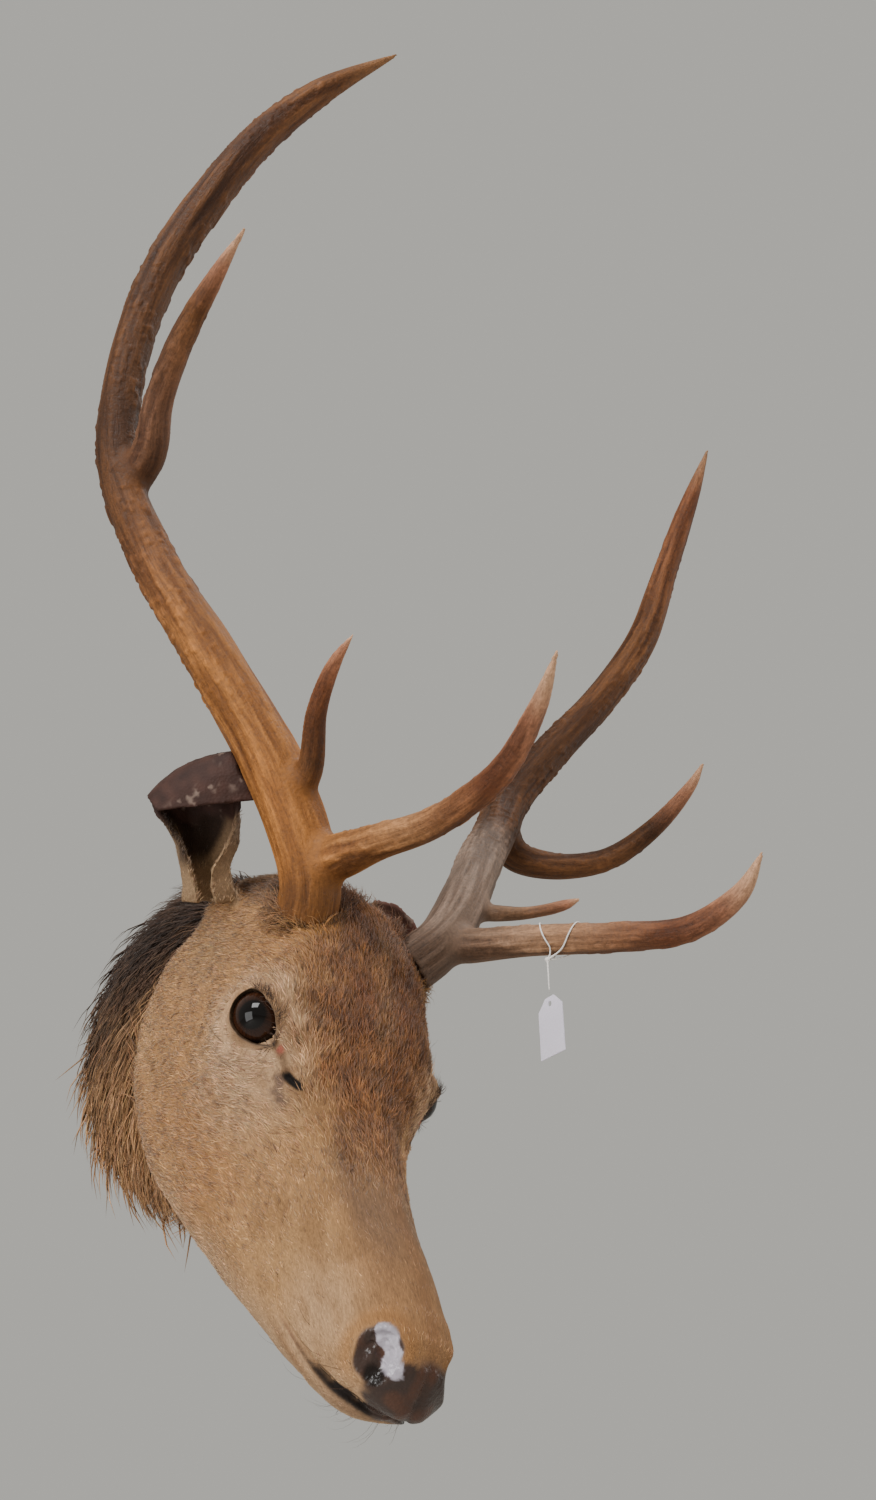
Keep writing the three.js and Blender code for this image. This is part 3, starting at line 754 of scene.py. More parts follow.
def smooth_curve(controls, per_span=24):
    """Points on a smooth curve through the controls, a column of radii included."""
    p = np.asarray(controls, float)
    p = np.vstack([2 * p[0] - p[1], p, 2 * p[-1] - p[-2]])
    spans = np.sqrt(np.linalg.norm(np.diff(p[:, :3], axis=0), axis=1))
    out = []
    for i in range(1, len(p) - 2):
        d0, d1, d2 = spans[i - 1:i + 2]
        first = (p[i] - p[i - 1]) / d0 - (p[i + 1] - p[i - 1]) / (d0 + d1) + (p[i + 1] - p[i]) / d1
        last = (p[i + 1] - p[i]) / d1 - (p[i + 2] - p[i]) / (d1 + d2) + (p[i + 2] - p[i + 1]) / d2
        t = np.arange(per_span)[:, None] / per_span
        out.append((2 * t**3 - 3 * t**2 + 1) * p[i] + (t**3 - 2 * t**2 + t) * d1 * first
                   + (3 * t**2 - 2 * t**3) * p[i + 1] + (t**3 - t**2) * d1 * last)
    return np.vstack(out + [p[-2:-1]])


def carried(line):
    """Tangents and one steady pair of cross directions along a line of points."""
    tangents = unit(np.gradient(line, axis=0))
    side = unit(np.cross(tangents[0], [0.31, 0.52, 0.79]))
    sides = []
    for t in tangents:
        side = unit(side - side @ t * t)
        sides.append(side)
    sides = np.array(sides)
    return tangents, sides, np.cross(tangents, sides)


def tube(line, radii, sides=24):
    """A closed bar round a line, as points and faces."""
    _, across, over = carried(line)
    turn = np.linspace(0, 2 * math.pi, sides, endpoint=False)
    ring = np.cos(turn)[None, :, None] * across[:, None] + np.sin(turn)[None, :, None] * over[:, None]
    co = (line[:, None] + ring * np.asarray(radii)[:, None, None]).reshape(-1, 3)
    rows, i = np.meshgrid(np.arange(len(line) - 1), np.arange(sides), indexing="ij")
    a, b = rows * sides + i, rows * sides + (i + 1) % sides
    faces = np.concatenate([np.stack([a, b, b + sides], -1).reshape(-1, 3),
                            np.stack([a, b + sides, a + sides], -1).reshape(-1, 3)])
    ends = []
    last = (len(line) - 1) * sides
    for first, middle, flip in ((0, len(co), True), (last, len(co) + 1, False)):
        k = np.arange(sides)
        fan = np.stack([np.full(sides, middle), first + k, first + (k + 1) % sides], -1)
        ends.append(fan[:, ::-1] if flip else fan)
    return np.vstack([co, line[:1], line[-1:]]), np.vstack([faces, *ends])


def tones_along(stops, share):
    places, tones = zip(*stops)
    return np.stack([np.interp(share, places, [tone[k] for tone in tones]) for k in range(3)], -1)


def branch_lines(spec):
    """The middle line and the radii of each branch, in metres."""
    lines = []
    for branch in BRANCHES:
        controls = np.array(spec[branch], float)
        controls[:, 1] *= spec["side"]
        path = smooth_curve(controls)
        lines.append((from_head(path[:, :3]), path[:, 3] * MM))
    return lines


def places_along(co, lines):
    """Each point's branch, its place across and along it, the share of its length, and the radius there."""
    best = np.full(len(co), 1e9)
    spot = np.zeros((len(co), 3))
    tine, share, radius = np.zeros((3, len(co)))
    for k, (line, radii) in enumerate(lines):
        tangents, across, over = carried(line)
        run = np.concatenate([[0], np.cumsum(np.linalg.norm(np.diff(line, axis=0), axis=1))])
        tree = KDTree(len(line))
        for i, p in enumerate(line):
            tree.insert(p, i)
        tree.balance()
        index = np.array([tree.find(p)[1] for p in co])
        off = co - line[index]
        away = np.linalg.norm(off, axis=1) - radii[index]
        closer = away < best
        local = np.stack([(off * across[index]).sum(1), (off * over[index]).sum(1),
                          run[index] + (off * tangents[index]).sum(1)], -1)
        spot = np.where(closer[:, None], local + [0, 0, k * BRANCH_GAP], spot)
        tine = np.where(closer, k, tine)
        share = np.where(closer, run[index] / run[-1], share)
        radius = np.where(closer, radii[index], radius)
        best = np.minimum(best, away)
    return tine, spot, share, radius


def webbed(co, edges, tris, near_fork):
    """The antler's points smoothed, with the crooks of its forks filled in."""
    crook = np.clip(2 * spread(near_fork, edges, CROOK_ROUNDS), 0, 1)
    co = smoothed(co, edges, 6, np.ones(len(co)))
    co = spread(co, edges, 16, 0.6 * near_fork)
    for _ in range(WEB_ROUNDS):
        outward = normals_of(co, tris)
        fill = ((spread(co, edges, 24) - co) * outward).sum(1)
        co = co + outward * (np.maximum(fill, 0) * crook)[:, None]
    return co


def antler(name, spec):
    lines = branch_lines(spec)
    mesh = voxels(*joined([tube(*line) for line in lines]), ANTLER_VOXEL)
    co, edges, tris = points_of(mesh), edges_of(mesh), triangles_of(mesh)
    tine, spot, share, radius = places_along(co, lines)
    near_fork = spread((tine != 0).astype(float), edges, FORK_ROUNDS)
    near_fork = np.clip(5 * near_fork * (1 - near_fork), 0, 1)
    co = webbed(co, edges, tris, near_fork)

    # lengthwise grooves, and small pearls that are thickest low down and fade towards the tips
    long_way = spot * [1, 1, 0.07]
    ridges = noise(long_way, 0.0036, 1) - 0.5 + 0.7 * (noise(long_way, 0.0018, 2) - 0.5)
    channels = ease(0.42, 0.27, noise(long_way, 0.0058, 3))
    shaft = 1 - np.where(tine == 0, ease(0.90, 0.985, share), ease(0.74, 0.95, share))
    pearls = ease(0.55, 0.76, noise(spot * [1, 1, 0.8], 0.0037, 0))
    pearls = pearls * ease(0.38, 0.58, noise(spot * [1, 1, 0.2], 0.014, 2))
    pearls = pearls * shaft * np.where(tine == 0, ease(0.10, 0.24, share), 0.8)
    thick = np.clip(radius / 0.016, 0.35, 1.2)
    height = ((ridges - 0.8 * channels) * (0.2 + 0.8 * shaft) + pearls) * thick
    height = height + (spread(height, edges, 16) - height) * near_fork
    move_points(mesh, co + normals_of(co, tris) * (height * MM)[:, None])

    tones = ANTLER_TONES[name]
    tint = tones_along(tones["beam"], share)
    for k, branch in enumerate(BRANCHES):
        tint = np.where((tine == k)[:, None], tones_along(tones[branch], share), tint)
    tint = tint * (0.74 + 0.52 * noise(spot * [1, 1, 0.25], 0.017, 1))[:, None]
    warm = ease(0.5, 0.75, noise(spot * [1, 1, 0.2], 0.026, 3))
    for factor, here in (([1.12, 0.86, 0.62], 0.5 * warm * shaft),
                         ([0.40, 0.34, 0.3], 0.75 * channels * shaft),
                         ([0.5, 0.45, 0.4], 0.75 * ease(0.12, -0.3, ridges) * shaft),
                         (1.25, 0.6 * ease(0.1, 0.4, ridges) * shaft),
                         (1.5, 0.55 * pearls)):
        tint = blend(tint, tint * factor, here)
    tint = blend(tint, UMBER, 0.55 * np.where(tine == 0, ease(0.045, 0.02, share), 0))
    tint = blend(tint, spread(tint, edges, 30), near_fork)
    put(mesh, "tint", tint, "FLOAT_COLOR")
    put(mesh, "grain", spot * [1, 1, 0.12] * 1000, "FLOAT_VECTOR")
    put(mesh, "fork", near_fork)
    shade_smooth(mesh)
    pieces = [f"antler_{name}_{part}" for part in ("beam", "top", *BRANCHES[1:])]
    return finished(placed(f"antler_{name}", mesh), antler_material(), "antler", *pieces)


# ---- eyes of brown glass
def eye(name, side):
    """A glass eye: a ball with a bulging cornea, turned the way the stag looks."""
    rings, turns = 40, 64
    polar = np.linspace(0, math.pi, rings)[1:-1]
    turn = np.linspace(0, 2 * math.pi, turns, endpoint=False)
    radius = (EYE_RADIUS - 0.35) * MM + 0.0007 * near(polar, 0, math.radians(40))
    out = EYE_OUT * [1, side, 1]
    gaze = unit(out + np.array([0.0, 0, 0.02]))
    across = unit(along(np.array([1, 0, -0.3]), gaze))
    over = np.cross(gaze, across)
    round_gaze = np.cos(turn)[:, None] * across + np.sin(turn)[:, None] * over
    way = np.sin(polar)[:, None, None] * round_gaze + np.cos(polar)[:, None, None] * gaze
    way = np.vstack([gaze[None], way.reshape(-1, 3), -gaze[None]])
    reach = np.concatenate([[radius[0]], np.repeat(radius, turns), [radius[-1]]])
    middle = from_head(EYE * [1, side, 1])
    co = middle + turn_from_head(way) * reach[:, None]
    i, j = np.meshgrid(np.arange(rings - 3), np.arange(turns), indexing="ij")
    a, b = 1 + i * turns + j, 1 + i * turns + (j + 1) % turns
    quads = np.stack([a, a + turns, b + turns, b], -1).reshape(-1, 4)
    j = np.arange(turns)
    last = 1 + (rings - 3) * turns
    top = np.stack([np.zeros(turns, int), 1 + j, 1 + (j + 1) % turns], -1)
    end = np.stack([np.full(turns, len(co) - 1), last + (j + 1) % turns, last + j], -1)
    obj = make(f"eye_{name}_glass", co, [quads, top, end])
    x, y = way @ across, way @ over
    put(obj.data, "iris", np.degrees(np.arccos(np.clip(way @ gaze, -1, 1))))
    spoke = unit(np.stack([x, y, 0 * x], -1))
    put(obj.data, "spoke", spoke + 0.02 * np.hypot(x, y)[:, None] * [0, 0, 1], "FLOAT_VECTOR")
    return finished(obj, eye_material(), "eye", f"eye_{name}")


# ---- the coat's colours and lie
GOLD, FAWN, PALE, RUFOUS, UMBER, GREY = colours("ad7848 bd9262 d0aa85 70421f 402817 7f6149")
TAWNY, GINGER, DEEP_BROWN, CREST, BURR_GOLD = colours("946338 98683c 4e2d15 9a7148 a8742f")
MUZZLE_BROWN, FOLD_SHADE, AMBER, BRIDGE_BROWN = colours("8c6540 6d4a30 a8713a 8a5632")
CHEEK_GREY, NAPE_BROWN, DUCT_BROWN, BARE_GREY = colours("8c6f50 7b5a3a 4a3022 6e574a")
MANE_DARK, MANE_TIP, MANE_LOW, EAR_CREASE_SHADE = colours("281a12 62442d a47a53 4a3124")
EAR_BACK, EAR_LEATHER, EAR_ROOT, EAR_FLAKE = colours("7a6049 3b241d a58563 a08a7c")
NOSE_DARK, NOSE_FLAKE, NOSE_RED, PINK, HIDE_BACK = colours("3c2e28 bcb4be 563728 b5604c b89c74")
DARK_SKIN_AND_SHADE, LIP_RED, LIP_TAN, CHIN_BROWN = colours("241a15 5d352b 8f6238 6a4932")


def markings(raw, neck, ear, inner, nose, hair):
    """Colour of the coat or hide at places in the head. `hair` is 1 for hair and 0 for the skin under it."""
    h = mirrored(raw)
    ahead, aside, up = h.T
    _, z, reach, past = eye_frame(h)
    tint = GOLD

    def lay(tone, share):
        nonlocal tint
        tint = blend(tint, tone, share)

    lay(FAWN, 0.25 + 0.6 * noise(raw, 34, 1))
    # paler round and below the eye, on the sides of the muzzle and on the jaw's underside
    lay(PALE, 0.75 * close_to(h, [112, 64, -66], 62))
    lay(PALE, 0.55 * near(reach, 24, 18) * (z > -14) * (aside > 30))
    lay(FAWN * 1.04, 0.7 * ease(170, 225, ahead) * ease(-50, -70, up))
    lay(PALE, 0.5 * close_to(h, [262, 38, -84], 46))
    blotches = ease(0.3, 0.6, noise(raw * [0.5, 1, 1], 14, 3))
    lay(MUZZLE_BROWN, 0.6 * close_to(h, [212, 34, -74], 52) * blotches)
    flecks = ease(0.45, 0.75, noise(raw * [0.4, 1, 1], 6, 3))
    lay(MUZZLE_BROWN, 0.34 * flecks * ease(20, 60, ahead))
    # painted shade in the crease up from the mouth's corner
    lay(FOLD_SHADE, 0.5 * near(off_path(h, MOUTH_FOLD), 0, 4))
    lay(AMBER, 0.5 * near(nostril_reach(h), 1.25, 0.6))
    keel = curve_at([(-98, -76), (-50, -172), (0, -196), (110, -190), (209, -152), (280, -114), (313, -74)],
                    ahead)
    lay(PALE, 0.75 * near(up - keel, 0, 34) * (aside < 70) * ease(60, 150, ahead))
    # the worn brown bridge of the nose and the rufous forehead
    half = curve_at([(130, 36), (154, 30), (193, 31), (241, 27), (268, 25), (300, 20)], ahead)
    top = curve_at([(130, -48), (193, -62), (241, -62), (300, -66)], ahead)
    bridge = (1 - ease(-9, 8, aside - half)) * ease(-6, 8, up - top) * ease(120, 165, ahead)
    lay(GREY, 0.7 * bridge * (1 - 0.7 * ease(235, 280, ahead)) * (0.7 + 0.6 * noise(raw, 15, 2)))
    lay(BRIDGE_BROWN, 0.25 * bridge * near(aside, 0, 12))
    brow = forehead(h)
    lay(RUFOUS, brow * (0.74 + 0.5 * (noise(raw * [0.4, 1, 1], 9, 3) - 0.3)))
    lay(TAWNY, brow * 0.55 * ease(70, 130, ahead))
    lay(GINGER, brow * 0.36 * ease(0.5, 0.7, noise(raw * [0.35, 1, 1], 10, 2)))
    lay(tint * [0.98, 0.91, 0.74], brow)
    lay(DEEP_BROWN, brow * 0.42 * ease(0.5, 0.75, noise(raw * [0.3, 1, 1], 7, 0)))
    lay(CREST, 0.5 * brow * near(aside, 0, 14) * ease(20, 60, ahead) * (ahead < 110))
    # painted shade in the crease between ear and antler, golden by the burr, greyer behind the eye, brown
    # towards the mane
    crease_away = off_path(h, [[-36, 62, -34], [-20, 56, -18], [-8, 50, -12]])
    lay(EAR_CREASE_SHADE, 0.8 * ease(28, 4, crease_away + 12 * (noise(raw, 10, 1) - 0.5)))
    lay(BURR_GOLD, 0.55 * ease(26, 8, distance(h, [30, 46, -10])))
    lay(CHEEK_GREY, 0.5 * close_to(h, [0, 72, -74], 55))
    lay(NAPE_BROWN, 0.65 * ease(-20, -70, ahead) * (1 - ear))
    # lids, tear groove and gland
    lay(DARK_SKIN_AND_SHADE, 0.85 * near(past, 0.2, 1.9) * (reach < 24) * (z > -6))
    lay(DUCT_BROWN, 0.9 * near(off_path(h, DUCT), 0, 3.8))
    lay(PINK, 0.8 * ease(3.8, 1.8, distance(h, CARUNCLE)) * (1 - hair))
    lay(BARE_GREY, 0.85 * ease(6.8, 2.0, off_path(h, BARE) + 4 * (noise(raw, 3, 2) - 0.5)))
    lay(DARK_SKIN_AND_SHADE * 0.6, ease(3.4, 1.8, off_path(h * ACROSS_FACE, np.array(GLAND) * ACROSS_FACE)))
    # mouth and nose
    mouth, share = from_path(h, MOUTH)
    below, lips = under_lips(h), lip_band(h)
    # the lips' own dark skin, with painted shade in the gap between them
    lay(blend(LIP_RED, DARK_SKIN_AND_SHADE, ease(0.35, 0.6, share)), lips)
    lay(LIP_TAN, 0.6 * near(mouth, 10, 7) * below * near(share, 0.48, 0.25))
    lay(CHIN_BROWN, 0.55 * near(mouth, 6, 9) * below * ease(0.5, 0.8, share) * (1 - lips))
    lay(NOSE_DARK, nose)
    lay(NOSE_RED, 0.6 * nose * ease(0.45, 0.7, noise(raw, 8, 1)))
    peeled = ease(5.9, 5.2, off_path(h, FLAKE) + 3 * (noise(raw, 5.0, 2) - 0.5))
    lay(NOSE_FLAKE * (0.6 + 0.5 * noise(raw, 4.0, 1))[:, None], nose * (raw[:, 1] < 0) * peeled)
    # painted shade in the nostril's hollows
    for hole, size, _ in HOLLOWS:
        lay(DARK_SKIN_AND_SHADE * 0.5, nose * ease(size, 0.6 * size, distance(h, hole)))
    # neck and ears
    clump = noise(raw * [1, 1, 0.4], 18, 2)
    level = from_head(raw)[:, 2]
    mane = blend(MANE_DARK, MANE_TIP, 0.5 * clump)
    lay(blend(mane, MANE_LOW, ease(0.045, -0.085, level + 0.05 * (clump - 0.5))), neck ** 1.4)
    leaf, height = leather(raw), up_ear(h)
    lay(blend(EAR_BACK, EAR_ROOT, 1 - ease(10, 50, height)), ear)
    worn_left = np.where(raw[:, 1] > 0, 2.6, 1.0)
    # the ear's dark inner skin, darkened further inside the cup as painted shade
    lay(EAR_LEATHER * 0.5 * worn_left[:, None], inner * 0.9 * ease(4, 22, height) * (1 - pale_lobe(h)))
    lay(EAR_LEATHER * (worn_left * (0.6 + 0.8 * noise(raw, 6, 1)))[:, None], ear * leaf)
    flakes = ease(0.70, 0.80, noise(raw, 3.2, 3)) * ease(0.45, 0.7, noise(raw, 14, 0))
    lay(EAR_FLAKE, 0.42 * ear * leaf * flakes)
    return tint


def pale_lobe(h):
    """1 on the pale lobe down the near side of the ear's mouth."""
    up = up_ear(h)
    rim = curve_at([(-14, -2), (6, -5), (33, 10), (54, 16), (78, 22)], up)
    return ease(-14, -7, (h - EAR_ROOT_AT) @ EAR_ACROSS - rim) * (1 - ease(44, 56, up))


def up_ear(h):
    """How far a mirrored place is up the ear from its root, in millimetres."""
    return (h - EAR_ROOT_AT) @ EAR_UP


def leather(raw):
    """1 on the upper part of each ear, where the hair is gone. On the right ear that part is folded over."""
    bald = np.where(raw[:, 1] < 0, 44, 30)
    return ease(-5, 5, up_ear(mirrored(raw)) - bald + 10 * (noise(raw, 9, 2) - 0.5))


def lie_of(raw, normals, neck, ear):
    """The way the hair points: back along the face, then down the cheeks and the neck."""
    h = mirrored(raw)
    ahead = h[:, 0]
    side = side_of(raw)
    sideways = ease(0.2, 0.75, np.abs(normals[:, 1]))
    fall = curve_at([(-60, 1.2), (20, 1.15), (90, 0.8), (150, 0.45), (220, 0.25), (313, 0.1)], ahead)
    apart = 0.25 * side * (1 - sideways) * ease(60, 20, ahead)
    way = np.stack([-np.ones(len(h)), apart, -sideways * fall], -1)
    # round the eye the hair parts and sweeps outwards
    way = way + 0.8 * close_to(h, EYE, 42)[:, None] * unit((h - EYE) * [1, 0, 1])
    way = way + 0.55 * np.stack([noise(raw, 22, k) - 0.5 for k in (0, 1, 2)], -1)
    # down the sides of the neck and straight back along its top
    down, back, up = head_normals(np.array([[0, 0.42, -1], [0, 1, 0], [0, 0, 1]], float))
    on_top = ease(0.25, 0.8, normals @ up)[:, None]
    way = blend(way, (down * (1 - on_top) + back * on_top) * 1.4, neck)
    along_ear = np.stack([np.full(len(h), -0.3), 0.25 * side, np.ones(len(h))], -1)
    return unit(along(blend(way, along_ear, ear), normals))


def head_normals(normals):
    """Directions of the scene as directions in the head."""
    q = normals @ HEAD
    return np.stack([-q[:, 1], q[:, 0], q[:, 2]], -1)


def nose_share(raw):
    """1 on the bare nose pad, with a soft edge."""
    h = mirrored(raw)
    ragged = 0.2 * (noise(raw, 5, 1) - 0.5)
    pad = np.linalg.norm((h - NOSE_PAD) / NOSE_PAD_REACH, axis=1)
    return 1 - ease(0.88, 1.06, np.minimum(pad, nostril_reach(h)) + ragged)


# the bald leather of the ears is rumpled
raw = to_head(co)
rumple = 3.4 * (noise(raw, 18, 3) - 0.5) + 1.8 * (noise(raw, 8, 1) - 0.5)
rumple = rumple * leather(raw) * ease(0.3, 0.8, ears_of(masks))
move_points(mesh, co + turn_from_head(rumple[:, None] * [0.3, 0, 1]) * MM)

co, edges = points_of(mesh), edges_of(mesh)
normals = normals_of(co, tris)
raw = to_head(co)
h = mirrored(raw)
on_right = raw[:, 1] < 0
ear = ease(0.15, 0.6, ears_of(masks))
neck = ease(0.25, 0.8, wide[:, NECK_MASK]) * (1 - ear)
nose = nose_share(raw)
into = head_normals(normals)
towards_mouth = into[:, 0] * 0.82 + into[:, 1] * side_of(raw) * 0.44 + into[:, 2] * 0.37
inner = spread(ear * ease(0.05, 0.45, towards_mouth), edges, 4)
hide_tint, hair_tint = (markings(raw, neck, ear, inner, nose, hair) for hair in (0.0, 1.0))
wall_side = ease(-0.010, -0.004, co[:, 1]) * ease(0.5, 0.9, normals[:, 1])
hide_tint = blend(hide_tint, HIDE_BACK, wall_side)
lie = lie_of(raw, into, neck, ear)
leaf = leather(raw) * ear
y, z, reach, past = eye_frame(h)
lid = near(past, 0, 2.2) * (reach < 24) * (z > -6)
bare = np.clip(nose + lid + lip_band(h), 0, 1)
between = 1 - 0.3 * (1 - nose) * (1 - leaf) * (1 - wall_side)       # painted shade on the hide under the hair
put(mesh, "tint", hide_tint * between[:, None], "FLOAT_COLOR")
put(mesh, "bare", np.clip(bare + leaf, 0, 1))
put(mesh, "dull", np.clip(0.82 - 0.56 * nose - 0.35 * lid - 0.12 * leaf, 0.2, 1))
put(mesh, "lie", raw * [0.16, 1, 0.8], "FLOAT_VECTOR")
finished(skin, skin_material(), "coat", *FLESH)


# ---- an unwrap of the skin's own shape
STRIPS = (neck, masks[:, EAR_R_MASK], masks[:, EAR_L_MASK])         # what has its own strip beside the head's
EAR_OPENS, EAR_OUTWARDS = unit(np.array([0.82, 0.44, 0.37])), unit(np.array([-0.4, 0.9, -0.1]))


def round_trip(x, y):
    """The angle of x and y as a share of a full turn."""
    return np.arctan2(x, y) / (2 * math.pi) + 0.5


def unwrap(raw, co, on_neck, on_right_ear, on_left_ear):
    """Each place's spot on the skin's map: a strip for the head, one for the neck and one for each ear."""
    turn = round_trip(raw[:, 1], raw[:, 2] + 90)
    uv = np.stack([0.02 + 0.94 * turn, 0.42 + 0.56 * (raw[:, 0] + 110) / 430], -1)
    x, z = co[:, 0] - 0.008, co[:, 2] + 0.008
    by_wall = np.clip(1 - np.hypot(x, z / 1.4) / 0.08, 0, 1) * (co[:, 1] > -0.03)
    deep = np.clip(-co[:, 1] / 0.20, 0, 1) + 0.35 * by_wall
    uv = np.where(on_neck[:, None], np.stack([0.02 + 0.94 * round_trip(x, z), 0.03 + 0.2 * deep], -1), uv)
    for left, side, here in ((0.02, -1, on_right_ear), (0.52, 1, on_left_ear)):
        q = (raw - [-55, side * 95, -30]) * [1, side, 1]
        spin = round_trip(q @ EAR_OPENS, q @ EAR_OUTWARDS)
        spot = np.stack([left + 0.44 * spin, 0.27 + 0.12 * (q[:, 2] + 50) / 100], -1)
        uv = np.where(here[:, None], spot, uv)
    return np.clip(uv, 0.004, 0.996)


def put_uv(mesh, per_corner):
    layer = mesh.uv_layers.new(name="OFBake")
    layer.data.foreach_set("uv", np.asarray(per_corner, np.float32).ravel())


def map_skin():
    """The skin's own map. A face over a strip's edge stays on the side of its first corner."""
    corners = fetch(mesh.loops, "vertex_index", 1)
    starts = fetch(mesh.polygons, "loop_start", 1)
    face_of = np.repeat(np.arange(len(starts)), np.diff(np.append(starts, len(corners))))
    first = corners[starts][face_of]
    uv = unwrap(raw[corners], co[corners], *(share[first] > 0.5 for share in STRIPS))
    first_u = uv[starts, 0][face_of]
    uv[:, 0] = np.where(np.abs(uv[:, 0] - first_u) > 0.4, first_u, uv[:, 0])
    put_uv(mesh, uv)


map_skin()


# ---- hair: tapered locks of solid mesh
def roots(weights, count, rng):
    """Random places on the skin's triangles, as triangle numbers and corner shares."""
    a, b, c = (co[tris[:, k]] for k in range(3))
    area = np.linalg.norm(np.cross(b - a, c - a), axis=1) / 2
    chance = area * weights[tris].mean(1)
    picked = np.searchsorted(np.cumsum(chance) / chance.sum(), rng.random(count))
    picked = np.clip(picked, 0, len(tris) - 1)
    u, v = rng.random(count), rng.random(count)
    over = u + v > 1
    u, v = np.where(over, 1 - u, u), np.where(over, 1 - v, v)
    return picked, np.stack([1 - u - v, u, v], -1)


def sampled(values, picked, shares):
    return (values[tris[picked]] * shares.reshape(shares.shape + (1,) * (values.ndim - 1))).sum(1)


STREAK_STEP, STREAK_WIDE = 0.0028, 0.0024
STREAK_LIGHT, STREAK_DARK = 0.4, 0.62
LOCK_CORNERS = ((-1, -0.4), (1, -0.4), (0, 0.8))      # across and out from the skin
LOCK_DEPTH = 0.55                                     # share of the lock's width
PATCH = 0.003                                         # size of a lock's patch on the map


def lock_faces(steps):
    """Triangles of one lock: its root's end, its sides and its tip."""
    faces = [[0, 2, 1]]
    for s in range(steps - 1):
        for k in range(3):
            a, b = 3 * s + k, 3 * s + (k + 1) % 3
            faces += [[a, b, b + 3], [a, b + 3, a + 3]]
    last = 3 * (steps - 1)
    return np.array(faces + [[last + k, last + (k + 1) % 3, last + 3] for k in range(3)])


def streaked(place, flow):
    """Brightness of locks at places, in light and dark streaks along the flow."""
    steps = np.arange(-2, 3) * STREAK_STEP
    streaks = np.mean([noise(place + flow * step, STREAK_WIDE, k) for k, step in enumerate(steps)], 0)
    change = STREAK_LIGHT * ease(0.5, 0.68, streaks) - STREAK_DARK * ease(0.5, 0.32, streaks)
    return 1 + change[:, None] * [0.9, 1.0, 1.1]


def locks(name, weights, count, length, width, lift, seed, steps=2, curl=0.25, spray=0.25, tip_light=1.18,
          sink=0.0006, dark_root=0.7, vary=0.17, droop=(0, 0, 0), tints=None, slot="coat", keep=None):
    """A joined mesh of locks. length, width and lift are point values or numbers in mm, mm and degrees."""
    rng = np.random.default_rng(seed)
    picked, shares = roots(weights, count, rng)

    def at(values):
        return sampled(values, picked, shares) if np.ndim(values) else np.full(count, float(values))

    place, normal = at(co), unit(at(normals))
    flow = unit(along(unit(turn_from_head(at(lie))), normal))
    flow = unit(flow + np.cross(normal, flow) * rng.normal(0, spray, count)[:, None])
    size = at(length) * MM * rng.uniform(0.7, 1.25, count)
    breadth = at(width) * MM * rng.uniform(0.75, 1.3, count)
    angle = np.radians(at(lift)) * rng.uniform(0.6, 1.35, count)
    bend = rng.normal(0, curl, count)
    shade = at(hair_tint if tints is None else tints) * rng.normal(1, vary, count).clip(0.5, 1.6)[:, None]
    shade = shade * (1 + rng.normal(0, 0.035, (count, 3))) * streaked(place, flow)

    line = [place - normal * sink]
    across = np.cross(normal, flow)
    heading = flow * np.cos(angle)[:, None] + normal * np.sin(angle)[:, None]
    for _ in range(steps):
        line.append(line[-1] + heading * (size / steps)[:, None])
        turn = across * (bend / steps)[:, None] - normal * (np.sin(angle) * 1.5 / steps)[:, None]
        heading = unit(heading + turn + np.divide(droop, steps))
    across = unit(across)
    points, tones = [], []
    for s, middle in enumerate(line[:-1]):
        u = s / steps
        half = breadth * (0.5 if s == 0 else 0.55 * (1 - u) ** 0.7 + 0.05)
        tone = dark_root + (1 - dark_root) * min(1.0, u * 1.8) + (tip_light - 1) * u
        for aside, out in LOCK_CORNERS:
            side_way = across * (half * aside)[:, None]
            points.append(middle + side_way + normal * (half * LOCK_DEPTH * out)[:, None])
            tones.append(shade * tone)
    points = np.stack([*points, line[-1]], 1)
    tones = np.stack([*tones, shade * tip_light], 1)

    per = 3 * steps + 1
    patch = np.array([[(k % 3 - 1) / 2, k // 3 / steps - 0.5] for k in range(per)]) * PATCH
    patch[-1] = [0, PATCH / 2]
    spots = unwrap(to_head(place), place, *(at(share) > 0.5 for share in STRIPS))[:, None] + patch
    if keep is not None:
        chosen = keep(points)
        points, tones, spots = points[chosen], tones[chosen], spots[chosen]
    faces = (lock_faces(steps) + (np.arange(len(points)) * per)[:, None, None]).reshape(-1, 3)
    obj = make(name, points.reshape(-1, 3), faces)
    put(obj.data, "tint", tones.reshape(-1, 3), "FLOAT_COLOR")
    put_uv(obj.data, spots.reshape(-1, 2)[faces.ravel()])
    return finished(obj, hair_material(), slot)


# ---- where the hair grows
brow = spread(forehead(h), edges, 4)
mouth = off_path(h, MOUTH)
bare_away, caruncle_away = off_path(h, BARE), distance(h, CARUNCLE)
open_eye = (past < 0.8) & (reach < 24) & (z > -8)
hairy = (1 - ease(0.2, 0.7, nose)) * ~open_eye * ease(1.2, 3.2, np.where(reach < 26, past, 9))
hairy = hairy * ease(2.0, 4.5, off_path(h, GLAND)) * ease(1.0, 5.0, bare_away)
hairy = hairy * ease(1.6, 4.0, off_path(h, DUCT)) * ease(3.5, 6.5, caruncle_away)
hairy = hairy * ease(0.5, 1.5, mouth) * ease(0.85, 1.1, nostril_reach(h)) * (1 - lip_band(h))
hairy = hairy * (1 - ease(-0.006, -0.003, co[:, 1]))
face = hairy * (1 - neck) * (1 - ear)
snout = ease(120, 260, h[:, 0])
short = 8.5 - 4.5 * snout + 4 * ease(20, -60, h[:, 0]) + 2.5 * brow
short = short - 2.5 * near(reach, 18, 16) * (h[:, 1] > 30)
short = short * (1 - 0.45 * near(bare_away, 0, 14)) * (1 - 0.4 * near(caruncle_away, 0, 14))
slim = 0.76 - 0.2 * snout
flat = 11 + 5 * brow


